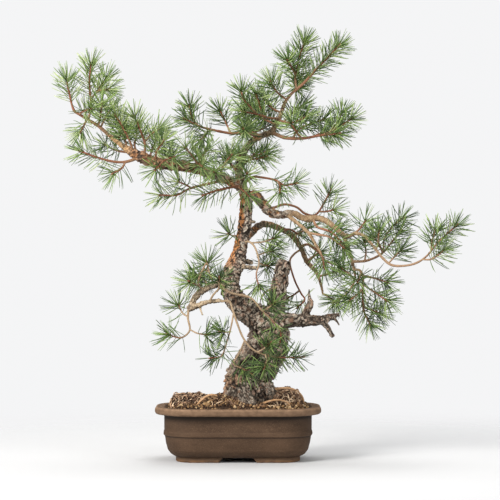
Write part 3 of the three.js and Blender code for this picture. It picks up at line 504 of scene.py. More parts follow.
SPRAYS: dict[str, list[list]] = {
    "crown_top": [
    [[[84, 9, 647], [97, 7, 664], [120, 6, 684], [150, 0, 717], [184, -9, 752]], 3, 0.42],
    [[[106, 7, 673], [104, 17, 690], [107, 29, 710], [113, 38, 736], [121, 44, 758]], 2.2, 0.15],
    [[[105, 20, 697], [98, 9, 710], [90, -3, 724]], 1.8, 0.2],
    [[[88, 9, 653], [76, -9, 662], [68, -17, 670], [60, -26, 684]], 2, 0.3],
    [[[98, 7, 665], [106, 44, 672], [114, 78, 686]], 2, 0.35],
    ],
    "crown_left_behind": [[[[78, 9, 630], [68, 29, 634], [58, 49, 641], [46, 64, 654]], 2.2, 0.35]],
    "crown_inner": [
    [[[74, 9, 619], [58, -14, 620], [36, -29, 626], [8, -41, 632]], 2.4, 0.4],
    [[[34, -29, 627], [20, -38, 642], [9, -44, 656], [6, -46, 668]], 1.9, 0.3],
    ],
    "crown_inner_behind": [
    [[[69, 12, 608], [60, 35, 612], [44, 58, 620], [22, 75, 640]], 2.4, 0.4],
    [[[48, 54, 618], [40, 41, 640], [33, 32, 662]], 1.9, 0.3],
    ],
    "crown_right": [
    [[[60, 12, 594], [86, -6, 584], [118, -20, 583], [148, -32, 588], [182, -44, 592]], 3.8, 0.72],
    [[[156, -35, 590], [178, -29, 600], [204, -23, 618]], 2, 0.3],
    [[[168, -33, 595], [178, -16, 608], [188, -6, 628]], 1.9, 0.3],
    [[[134, -27, 585], [150, -14, 592], [166, 2, 594]], 1.9, 0.35],
    [[[100, -13, 584], [108, 6, 597], [128, 20, 608], [157, 32, 617]], 2.2, 0.4],
    [[[116, -20, 583], [106, -38, 594], [96, -49, 610]], 1.9, 0.3],
    ],
    "crown_right_upper": [
    [[[74, 9, 616], [92, -9, 611], [104, -17, 613], [122, -26, 621]], 2.2, 0.4],
    [[[82, 0, 612], [92, 17, 622], [102, 35, 632], [117, 49, 642]], 2, 0.35],
    ],
    "crown_left": [
    [[[44, 20, 588], [5, 14, 592], [-20, 9, 593], [-68, -3, 604], [-96, -14, 618]], 3.4, 0.74],
    [[[-74, -4, 606], [-84, 6, 622], [-88, 12, 641]], 2, 0.25],
    [[[-14, 10, 593], [-22, 20, 611], [-32, 29, 632]], 2, 0.3],
    [[[-48, 3, 599], [-58, -14, 592], [-66, -26, 582]], 2, 0.2],
    [[[16, 16, 591], [14, -17, 593], [10, -46, 600]], 2.2, 0.4],
    ],
    "crown_behind": [
    [[[30, 26, 580], [27, 61, 592], [20, 99, 612]], 2.6, 0.45],
    [[[27, 61, 592], [44, 87, 600], [62, 104, 610]], 1.9, 0.4],
    ],
    "left_end": [
    [[[-235, -61, 589], [-256, -62, 607], [-286, -67, 625], [-299, -68, 636], [-308, -67, 672],
      [-311, -64, 690]], 3.2, 0.68],
    [[[-272, -64, 618], [-267, -52, 642], [-270, -44, 682], [-267, -38, 717]], 2.4, 0.42],
    [[[-268, -49, 654], [-256, -38, 668], [-240, -29, 692]], 1.8, 0.3],
    [[[-258, -40, 665], [-250, -56, 670], [-236, -70, 672]], 1.8, 0.3],
    [[[-288, -67, 626], [-281, -87, 632], [-268, -104, 636]], 1.9, 0.3],
    [[[-274, -65, 619], [-280, -55, 606], [-286, -49, 594]], 1.9, 0.3],
    [[[-254, -62, 605], [-250, -81, 622], [-248, -96, 644]], 2, 0.3],
    [[[-250, -62, 602], [-242, -44, 618], [-232, -26, 634]], 2, 0.3],
    ],
    "left_lower": [
    [[[-178, -55, 549], [-206, -72, 540], [-238, -84, 543], [-286, -93, 559]], 3, 0.55],
    [[[-204, -71, 541], [-212, -78, 528], [-226, -84, 520]], 2, 0.2],
    ],
    "left_middle": [[[[-192, -57, 557], [-212, -38, 559], [-228, -26, 564], [-242, -14, 571]], 2.4, 0.4]],
    "left_shoot_a": [[[[-203, -58, 564], [-204, -38, 576], [-212, -17, 600]], 2.2, 0.35]],
    "left_shoot_b": [[[[-190, -57, 556], [-196, -72, 576], [-208, -84, 600], [-221, -90, 623]], 2.4, 0.4]],
    "left_shoot_c": [[[[-183, -55, 552], [-188, -41, 572], [-184, -26, 588], [-186, -17, 600]], 2.2, 0.4]],
    "left_shoot_d": [
    [[[-172, -55, 547], [-169, -64, 570], [-177, -70, 596], [-188, -72, 622]], 2.4, 0.4],
    [[[-170, -65, 576], [-158, -58, 590], [-143, -52, 600]], 1.8, 0.3],
    ],
    "left_shoot_e": [[[[-162, -51, 544], [-156, -32, 563], [-147, -14, 584]], 2.2, 0.35]],
    "left_shoot_f": [[[[-150, -48, 539], [-148, -67, 558], [-136, -81, 577]], 2.2, 0.35]],
    "left_under": [
    [[[-140, -46, 537], [-134, -67, 543], [-118, -81, 549]], 2.2, 0.35],
    [[[-135, -62, 541], [-142, -78, 534], [-150, -93, 526]], 1.9, 0.3],
    ],
    "left_behind_a": [[[[-118, -41, 534], [-122, 6, 541], [-130, 49, 554]], 2.4, 0.4]],
    "left_behind_b": [[[[-216, -59, 573], [-216, -17, 582], [-210, 29, 596]], 2.2, 0.4]],
    "left_behind_c": [[[[-56, -23, 520], [-64, 17, 534], [-74, 58, 552]], 2.4, 0.4]],
    "left_near": [
    [[[-70, -28, 525], [-78, -46, 544], [-96, -61, 566]], 2.4, 0.4],
    [[[-74, -38, 535], [-66, -44, 548], [-58, -46, 562]], 1.9, 0.3],
    [[[-73, -38, 534], [-70, -66, 536], [-66, -92, 532]], 1.9, 0.35],
    ],
    "inner_left_front": [
    [[[8, 14, 494], [0, -23, 496], [-18, -38, 493], [-40, -46, 488], [-62, -55, 480]], 3, 0.45],
    [[[-1, -23, 496], [8, -41, 489], [18, -52, 480]], 2, 0.3],
    ],
    "inner_left_low": [
    [[[-22, -9, 508], [-44, -26, 503], [-87, -46, 492], [-112, -54, 480], [-142, -60, 480]], 2.8, 0.6],
    [[[-84, -45, 492], [-94, -58, 498], [-108, -70, 504]], 1.9, 0.3],
    ],
    "inner_right": [
    [[[7, 17, 497], [25, -3, 512], [42, -12, 512], [68, -20, 507], [84, -26, 498], [104, -35, 501]],
      2.6, 0.6],
    [[[72, -22, 505], [76, -32, 496], [76, -44, 486]], 1.8, 0.3],
    ],
    "centre_shoot_a": [
    [[[-34, -14, 513], [-26, -38, 534], [-12, -55, 552]], 2.4, 0.35],
    [[[-30, -30, 526], [-38, -58, 526], [-44, -84, 522]], 1.9, 0.3],
    ],
    "centre_shoot_b": [
    [[[2, 26, 526], [12, 32, 538], [18, 20, 543], [28, 9, 553]], 2.4, 0.4],
    [[[13, 31, 539], [6, 0, 546], [2, -32, 556]], 1.9, 0.4],
    [[[19, 18, 544], [34, 4, 546], [50, -12, 550]], 1.8, 0.3],
    ],
    "centre_shoot_c": [[[[4, 20, 508], [14, -20, 512], [16, -55, 520]], 2.4, 0.45]],
    "centre_behind_a": [[[[2, 25, 520], [-10, 67, 532], [-22, 104, 550]], 2.6, 0.4]],
    "centre_behind_b": [[[[6, 30, 548], [30, 70, 550], [52, 102, 560]], 2.6, 0.45]],
    "right_thin": [
    [[[50, -9, 458], [64, 9, 457], [84, 20, 463], [106, 23, 458], [122, 20, 446], [140, 14, 444],
      [153, 12, 460], [167, 9, 487]], 2.6, 0.8],
    [[[147, 13, 450], [160, 3, 450], [173, -6, 453]], 1.8, 0.3],
    ],
    "right_low_front": [
    [[[148, -64, 379], [154, -72, 364], [156, -78, 350]], 2.2, 0.25],
    ],
    "right_low": [[[[128, -55, 411], [146, -70, 408], [168, -81, 403], [194, -90, 382]], 2.6, 0.5]],
    "right_middle": [[[[136, -22, 437], [144, -41, 422], [170, -58, 412], [192, -67, 390]], 2.6, 0.55]],
    "right_upper": [
    [[[212, -45, 410], [221, -35, 419], [231, -23, 433]], 2.2, 0.35],
    ],
    "right_far": [
    [[[245, -58, 388], [263, -67, 365], [282, -72, 352], [316, -75, 354], [341, -75, 368], [364, -74, 395],
      [397, -70, 425]], 2.8, 0.66],
    [[[334, -75, 363], [352, -87, 364], [373, -96, 379]], 1.9, 0.35],
    [[[350, -74, 379], [352, -60, 396], [358, -48, 416]], 1.9, 0.3],
    [[[274, -71, 357], [284, -58, 368], [296, -46, 380]], 1.9, 0.3],
    [[[251, -61, 380], [254, -78, 396], [256, -90, 414]], 1.9, 0.35],
    ],
    "right_hanging_upper": [
    [[[207, -16, 359], [234, -6, 361], [260, 6, 373], [276, 12, 391], [294, 17, 414]], 2.8, 0.55],
    [[[264, 7, 377], [266, 26, 402], [280, 38, 422], [298, 46, 437]], 2, 0.4],
    [[[262, 6, 375], [256, -9, 392], [246, -17, 405]], 1.8, 0.35],
    [[[230, -7, 361], [232, 12, 376], [230, 26, 396]], 1.9, 0.35],
    ],
    "right_hanging_lower": [
    [[[210, -10, 345], [222, -17, 342], [227, -23, 325], [226, -26, 296], [229, -29, 268],
      [240, -32, 245]], 2.6, 0.42],
    [[[226, -25, 310], [217, -38, 300], [204, -49, 290]], 1.9, 0.3],
    [[[225, -20, 334], [244, -6, 330], [270, 9, 322]], 2, 0.4],
    [[[226, -24, 318], [244, -40, 306], [270, -56, 288]], 1.9, 0.35],
    [[[224, -18, 340], [221, -42, 332], [217, -66, 322]], 1.8, 0.35],
    [[[228, -28, 276], [240, -14, 272], [256, 2, 266]], 1.7, 0.3],
    ],
    "right_hanging_end": [
    [[[213, -4, 331], [208, 6, 316], [196, 14, 300], [176, 20, 287]], 2.2, 0.25],
    [[[211, -1, 326], [203, 17, 336], [187, 29, 348]], 1.9, 0.35],
    ],
    "right_behind_a": [[[[168, -29, 427], [174, 6, 424], [182, 41, 416]], 2.4, 0.4]],
    "behind_a": [[[[113, 87, 386], [128, 78, 390], [147, 70, 376], [160, 64, 360], [181, 58, 352]], 2.8, 0.5]],
    "behind_b": [
    [[[115, 87, 382], [101, 75, 372], [94, 64, 358], [102, 52, 327], [114, 44, 302], [121, 38, 290],
      [109, 32, 277]], 2, 0.84],
    [[[112, 45, 307], [100, 49, 298], [90, 52, 293]], 1.6, 0.35],
    ],
    "behind_c": [
    [[[146, 81, 332], [160, 90, 336], [182, 99, 342]], 2.2, 0.35],
    ],
    "behind_d": [
    [[[154, 75, 301], [163, 67, 296], [180, 58, 284]], 2, 0.3],
    ],
    "behind_e": [[[[80, 72, 417], [96, 52, 417], [110, 38, 408]], 2.2, 0.4]],
    "behind_f": [[[[98, 81, 406], [112, 116, 412], [132, 142, 421]], 2.6, 0.45]],
    "behind_g": [[[[124, 87, 361], [134, 122, 366], [148, 151, 377]], 2.6, 0.45]],
    "trunk_left": [[[[4, 0, 408], [-8, -6, 406], [-17, -10, 409]], 1.9, 0.35]],
    "trunk_right": [
    [[[6, -3, 393], [20, -17, 395], [31, -23, 384], [38, -29, 358], [33, -35, 335], [39, -41, 311]],
      2.3, 0.84],
    [[[24, -20, 393], [46, -9, 395], [66, 8, 402]], 1.9, 0.45],
    [[[35, -26, 370], [48, 2, 375], [63, 30, 379]], 1.8, 0.4],
    [[[38, -29, 356], [46, 4, 353], [56, 34, 351]], 1.8, 0.45],
    ],
    "low_left_shoot": [
    [[[-42, -30, 317], [-50, -17, 332], [-57, -6, 358]], 2.2, 0.4],
    [[[-52, -14, 339], [-62, -23, 343], [-76, -35, 332]], 1.8, 0.35],
    ],
    "low_left_side": [[[[-62, -44, 308], [-74, -58, 316], [-88, -70, 323]], 2, 0.35]],
    "low_left_down": [
    [[[-90, -58, 273], [-91, -67, 256], [-88, -72, 234], [-104, -78, 221], [-128, -84, 227]], 2.6, 0.62],
    [[[-88, -72, 236], [-74, -81, 229], [-56, -87, 226]], 1.9, 0.45],
    [[[-91, -65, 259], [-101, -52, 266], [-108, -44, 280]], 1.8, 0.35],
    ],
    "low_left_behind": [[[[-50, -36, 315], [-58, 6, 321], [-66, 46, 331]], 2.2, 0.45]],
    "front_over": [
    [[[-52, -65, 286], [-44, -78, 300], [-30, -84, 311], [-10, -87, 302], [22, -87, 294], [43, -87, 271],
      [63, -86, 251], [77, -84, 233], [76, -83, 211]], 2.2, 0.9],
    [[[-36, -83, 308], [-34, -93, 318], [-34, -102, 330]], 1.6, 0.35],
    [[[44, -87, 270], [56, -96, 276], [66, -102, 284]], 1.6, 0.35],
    ],
    "front_long": [
    [[[-30, -68, 287], [-16, -72, 287], [-10, -75, 272], [-2, -81, 248], [9, -87, 221], [24, -90, 202],
      [45, -90, 191], [75, -88, 185], [116, -84, 186]], 2.6, 0.72],
    [[[-8, -77, 266], [-13, -84, 240], [-20, -90, 215], [-30, -93, 188], [-50, -93, 184]], 1.9, 0.78],
    [[[-14, -86, 232], [-22, -96, 231], [-32, -102, 232]], 1.6, 0.35],
    [[[12, -88, 216], [2, -90, 193], [-8, -88, 174], [8, -90, 165], [26, -93, 155]], 1.8, 0.66],
    [[[36, -90, 195], [48, -99, 202], [58, -102, 212]], 1.6, 0.35],
    [[[50, -90, 190], [52, -102, 179], [47, -110, 166]], 1.6, 0.35],
    ],
}


# Finishes


class Graph:
    """Builds one material's nodes round its shader, all on Object coordinates in metres."""

    def __init__(self, name: str, roughness: float, specular: float = 0.5) -> None:
        """Starts a material with an even roughness and specular level on its shader."""
        self.material = bpy.data.materials.new(name)
        self.material.use_nodes = True
        self.nodes = self.material.node_tree.nodes
        self.links = self.material.node_tree.links
        self.surface = self.nodes["Principled BSDF"]
        self.surface.inputs["Roughness"].default_value = roughness
        self.surface.inputs["Specular IOR Level"].default_value = specular
        self.place = self.nodes.new("ShaderNodeTexCoord").outputs["Object"]

    def mark(self, name: str) -> Socket:
        """A value marked on the mesh's points."""
        node = self.nodes.new("ShaderNodeAttribute")
        node.attribute_name = name
        return node.outputs["Fac"]

    def grain(self, pitch: float, detail: float = 2.0, stretch: Triple = (1.0, 1.0, 1.0)) -> Socket:
        """Noise from 0 to 1 with patches about pitch millimetres wide, drawn out by stretch."""
        mapping = self.nodes.new("ShaderNodeMapping")
        mapping.inputs["Scale"].default_value = tuple(1.0 / s for s in stretch)
        self.links.new(self.place, mapping.inputs["Vector"])
        node = self.nodes.new("ShaderNodeTexNoise")
        node.inputs["Scale"].default_value = 1.0 / (pitch * MM)
        node.inputs["Detail"].default_value = detail
        self.links.new(mapping.outputs["Vector"], node.inputs["Vector"])
        return node.outputs["Fac"]

    def spread(self, value: Socket, low: float, high: float,
               to_low: float = 0.0, to_high: float = 1.0) -> Socket:
        """The value's stretch from low to high made a clamped range."""
        node = self.nodes.new("ShaderNodeMapRange")
        for name, number in {"From Min": low, "From Max": high, "To Min": to_low, "To Max": to_high}.items():
            node.inputs[name].default_value = number
        self.links.new(value, node.inputs["Value"])
        return node.outputs["Result"]

    def feed(self, socket: Socket, value: Socket | float | Color) -> None:
        """Links a value to a socket, or sets an even number or colour on it."""
        if isinstance(value, Socket):
            self.links.new(value, socket)
        else:
            socket.default_value = (*value, 1.0) if isinstance(value, tuple) else value

    def blend(self, share: Socket | float, a: Socket | Color, b: Socket | Color) -> Socket:
        """Blends two colours by a share."""
        node = self.nodes.new("ShaderNodeMix")
        node.data_type = "RGBA"
        for socket, value in ((node.inputs[0], share), (node.inputs[6], a), (node.inputs[7], b)):
            self.feed(socket, value)
        return node.outputs[2]

    def ramp(self, value: Socket, stops: Stops) -> Socket:
        """A colour for each value, blended between stops."""
        node = self.nodes.new("ShaderNodeValToRGB")
        bar = node.color_ramp.elements
        while len(bar) < len(stops):
            bar.new(0.5)
        for stop, (place, color) in zip(bar, stops):
            stop.position = place
            stop.color = (*color, 1.0)
        self.links.new(value, node.inputs["Fac"])
        return node.outputs["Color"]

    def combine(self, operation: str, a: Socket, b: Socket | float) -> Socket:
        """The result of one sum on two values."""
        node = self.nodes.new("ShaderNodeMath")
        node.operation = operation
        self.feed(node.inputs[0], a)
        self.feed(node.inputs[1], b)
        return node.outputs[0]

    def times(self, a: Socket, b: Socket | float) -> Socket:
        """The product of two values."""
        return self.combine("MULTIPLY", a, b)

    def plus(self, a: Socket, b: Socket | float) -> Socket:
        """The sum of two values."""
        return self.combine("ADD", a, b)

    def finish(self, color: Socket, relief: Socket | None = None, depth: float = 0.3) -> Material:
        """Puts the colour and a relief, depth millimetres high, on the shader and returns the material."""
        self.links.new(color, self.surface.inputs["Base Color"])
        if relief is not None:
            bump = self.nodes.new("ShaderNodeBump")
            bump.inputs["Distance"].default_value = depth * MM
            bump.inputs["Strength"].default_value = 0.8
            self.links.new(relief, bump.inputs["Height"])
            self.links.new(bump.outputs["Normal"], self.surface.inputs["Normal"])
        return self.material


@dataclass(frozen=True)
class Stoneware:
    """Brown unglazed clay with a sandy grain, paler where edges have burnished, with a painted highlight on the rim
    and the belt and painted shade under the rim and in the inner corners.
    """

    body: Color = (0.074, 0.042, 0.0235)
    shade: Color = (0.043, 0.0235, 0.0125)
    # painted shade: near-black clay laid under the rim and in the profile's inner corners
    grime: Color = (0.016, 0.010, 0.007)
    # pale burnished clay, also the colour of the painted highlight on rim and belt and of pale sand grains
    worn: Color = (0.300, 0.185, 0.112)
    pit: Color = (0.05, 0.032, 0.022)
    toasted: Color = (0.26, 0.13, 0.055)

    def paint(self) -> Material:
        """Clouds and sand over the clay, painted shade under the rim and in inner corners, burnished edges with
        their painted highlight, and the mark toasted at the feet.
        """
        g = Graph("stoneware", roughness=0.75, specular=0.2)
        cloud = g.spread(g.grain(38.0, 3.0, (2.2, 2.2, 1.0)), 0.3, 0.7)
        color = g.blend(cloud, self.shade, self.body)
        drag = g.spread(g.grain(6.0, 3.0, (3.0, 3.0, 1.0)), 0.48, 0.7, 0.0, 0.55)
        color = g.blend(drag, color, self.shade)
        sand = g.grain(0.9, 2.0)
        color = g.blend(g.spread(sand, 0.56, 0.74, 0.0, 0.35), color, self.worn)
        color = g.blend(g.spread(sand, 0.38, 0.25, 0.0, 0.45), color, self.pit)
        # painted shade under the rim and in the inner corners, by its mark
        color = g.blend(g.mark("grime"), color, self.grime)
        # painted highlight: the burnish mark, raised on the rim's top edge and the belt's upper face, lightens the
        # clay
        rubbed_and_lit = g.times(g.mark("worn"), g.spread(g.grain(9.0, 3.0), 0.25, 0.75, 0.35, 1.0))
        color = g.blend(rubbed_and_lit, color, self.worn)
        color = g.blend(g.times(g.mark("toasted"), g.spread(g.grain(14.0), 0.35, 0.65)), color, self.toasted)
        relief = g.plus(sand, g.times(g.grain(3.5, 2.0), 1.5))
        return g.finish(color, relief, 0.45)


@dataclass(frozen=True)
class ScreenPlastic:
    """Black plastic of the drain screens, dusty with clay."""

    black: Color = (0.018, 0.020, 0.018)
    dust: Color = (0.14, 0.10, 0.06)

    def paint(self) -> Material:
        """Dust in soft patches over black."""
        g = Graph("screen_plastic", roughness=0.55)
        color = g.blend(g.spread(g.grain(6.0, 3.0), 0.45, 0.8, 0.0, 0.6), self.black, self.dust)
        return g.finish(color, g.grain(1.2), 0.1)


@dataclass(frozen=True)
class Grit:
    """Baked yellow-brown granules, each of its own tone; the darkest stop also paints the ground beneath them as
    painted shade in the gaps between granules.
    """

    stops: Stops = (
        (0.0, (0.016, 0.010, 0.008)), (0.35, (0.070, 0.036, 0.020)), (0.6, (0.23, 0.125, 0.060)),
        (0.85, (0.43, 0.260, 0.118)), (1.0, (0.66, 0.48, 0.28)),
    )
    mottle: Color = (0.09, 0.05, 0.024)

    def paint(self) -> Material:
        """The mark tone picks the colour, and fine noise mottles it."""
        g = Graph("grit", roughness=0.9, specular=0.2)
        color = g.ramp(g.mark("tone"), self.stops)
        fine = g.grain(1.1, 3.0)
        color = g.blend(g.spread(fine, 0.35, 0.65, 0.0, 0.5), color, self.mottle)
        return g.finish(color, fine, 0.5)


@dataclass(frozen=True)
class OldRoot:
    """Dead fibrous root mats and orange living roots."""

    stops: Stops = (
        (0.0, (0.028, 0.017, 0.012)), (0.35, (0.15, 0.086, 0.055)), (0.7, (0.46, 0.275, 0.165)),
        (1.0, (0.82, 0.60, 0.40)),
    )
    mottle: Color = (0.07, 0.042, 0.026)

    def paint(self) -> Material:
        """The mark tone runs from dark earthy brown to orange tan."""
        g = Graph("root_fibre", roughness=0.85, specular=0.25)
        color = g.ramp(g.mark("tone"), self.stops)
        fine = g.grain(1.6, 2.0)
        color = g.blend(g.spread(fine, 0.4, 0.7, 0.0, 0.4), color, self.mottle)
        return g.finish(color, fine, 0.3)


@dataclass(frozen=True)
class Bark:
    """Old plated bark, flaking copper bark and smooth young bark, by the marks on the wood."""

    bare: Color = (0.090, 0.060, 0.045)
    plate: Color = (0.220, 0.168, 0.125)
    grey: Color = (0.420, 0.360, 0.285)
    light: Color = (0.740, 0.670, 0.550)
    flesh: Color = (0.47, 0.300, 0.215)
    rust: Color = (0.25, 0.125, 0.070)
    # painted shade in the relief's hollows, and the dark of the seams
    crack: Color = (0.022, 0.015, 0.011)
    dirt: Color = (0.065, 0.048, 0.036)
    copper: Color = (0.74, 0.315, 0.105)
    copper_dark: Color = (0.34, 0.135, 0.050)
    young: Color = (0.40, 0.280, 0.163)
    young_dark: Color = (0.25, 0.155, 0.085)
    young_copper: Color = (0.78, 0.49, 0.24)
    # pale wood of the low left branches and the dead stub, with a painted highlight on the branches' upper side
    pale_wood_and_highlight: Color = (0.58, 0.475, 0.335)
    pale_wood_and_highlight_dark: Color = (0.36, 0.255, 0.155)
    # painted shade on undersides and at the tree's foot
    stain: Color = (0.05, 0.040, 0.030)

    def paint(self) -> Material:
        """Plates by tag, which carries a painted highlight at their lips, then copper and young bark by their
        marks, pale wood with a painted highlight, painted shade in hollows with dark seams, and painted shade on
        undersides and at the foot.
        """
        g = Graph("bark", roughness=0.88, specular=0.25)
        fine = g.grain(1.3, 4.0, (1.0, 1.0, 1.8))
        patch = g.grain(13.0, 3.0)
        stops = ((0.12, self.bare), (0.40, self.plate), (0.58, self.grey), (0.84, self.light))
        old = g.ramp(g.mark("tag"), stops)
        old = g.blend(g.times(g.spread(g.mark("tag"), 0.6, 0.68), g.spread(patch, 0.45, 0.56)), old, self.flesh)
        old = g.blend(g.spread(patch, 0.47, 0.36, 0.0, 0.75), old, self.rust)
        old = g.blend(g.spread(fine, 0.35, 0.62, 0.4, 0.0), old, self.dirt)
        flake = g.blend(g.spread(fine, 0.35, 0.65), self.copper_dark, self.copper)
        old = g.blend(g.mark("copper"), old, flake)
        young = g.blend(g.spread(g.grain(4.5, 3.0, (1.0, 1.0, 2.0)), 0.35, 0.65), self.young_dark, self.young)
        young = g.blend(g.times(g.mark("copper"), 0.8), young, self.young_copper)
        color = g.blend(g.mark("young"), old, young)
        pale_wood_and_highlight = g.blend(g.spread(fine, 0.35, 0.65), self.pale_wood_and_highlight_dark, self.pale_wood_and_highlight)
        # painted highlight on the low left branches' upper side, and the dead stub's bleached wood
        color = g.blend(g.mark("pale"), color, pale_wood_and_highlight)
        # painted shade in the relief's hollows, with the dark seams between plates and flakes
        color = g.blend(g.mark("crack"), color, self.crack)
        # painted shade on undersides and at the foot
        color = g.blend(g.mark("stain"), color, self.stain)
        return g.finish(color, fine, 0.8)


@dataclass(frozen=True)
class Shoot:
    """Twig bark, tan where it is old and red brown towards the bud."""

    stops: Stops = (
        (0.0, (0.36, 0.235, 0.135)), (0.25, (0.31, 0.155, 0.086)), (0.6, (0.26, 0.103, 0.055)),
        (1.0, (0.29, 0.100, 0.054)),
    )
    pale: Color = (0.41, 0.300, 0.188)
    scar: Color = (0.10, 0.050, 0.028)

    def paint(self) -> Material:
        """The mark along runs up the twig, and short rings of old leaf scars darken it."""
        g = Graph("shoot", roughness=0.75, specular=0.3)
        color = g.ramp(g.mark("along"), self.stops)
        color = g.blend(g.times(g.mark("pale"), 0.9), color, self.pale)
        scars = g.grain(1.4, 2.0)
        color = g.blend(g.spread(scars, 0.45, 0.7, 0.0, 0.6), color, self.scar)
        return g.finish(color, scars, 0.4)


@dataclass(frozen=True)
class Bud:
    """Resinous bud scales, red brown with orange tips."""

    stops: Stops = ((0.0, (0.15, 0.060, 0.032)), (0.5, (0.24, 0.085, 0.043)), (1.0, (0.33, 0.155, 0.085)))
    dark: Color = (0.17, 0.06, 0.03)

    def paint(self) -> Material:
        """The mark along runs up the bud, and fine dark patches lie on it."""
        g = Graph("bud", roughness=0.5, specular=0.5)
        color = g.ramp(g.mark("along"), self.stops)
        color = g.blend(g.spread(g.grain(1.0), 0.4, 0.7, 0.0, 0.4), color, self.dark)
        return g.finish(color, g.grain(0.8), 0.2)


@dataclass(frozen=True)
class Needle:
    """Waxy blue-green needles: shaded ones dark, young ones towards yellow green, all paler at the root."""

    stops: Stops = (
        (0.0, (0.028, 0.055, 0.020)), (0.3, (0.095, 0.168, 0.045)), (0.65, (0.255, 0.368, 0.098)),
        (1.0, (0.50, 0.565, 0.275)),
    )
    bloom: Color = (0.42, 0.50, 0.24)
    sheath: Color = (0.20, 0.13, 0.055)
    tip: Color = (0.30, 0.27, 0.11)

    def paint(self) -> Material:
        """The mark tone picks the green, a bloom lies in fine lines, and the mark along finds the sheath."""
        g = Graph("needle", roughness=0.45, specular=0.28)
        color = g.ramp(g.mark("tone"), self.stops)
        color = g.blend(g.spread(g.grain(2.2, 1.0), 0.5, 0.8, 0.0, 0.35), color, self.bloom)
        color = g.blend(g.spread(g.mark("along"), 0.14, 0.04, 0.0, 0.85), color, self.sheath)
        color = g.blend(g.spread(g.mark("along"), 0.94, 1.0, 0.0, 0.3), color, self.tip)
        return g.finish(color)


# Pot and what fills it


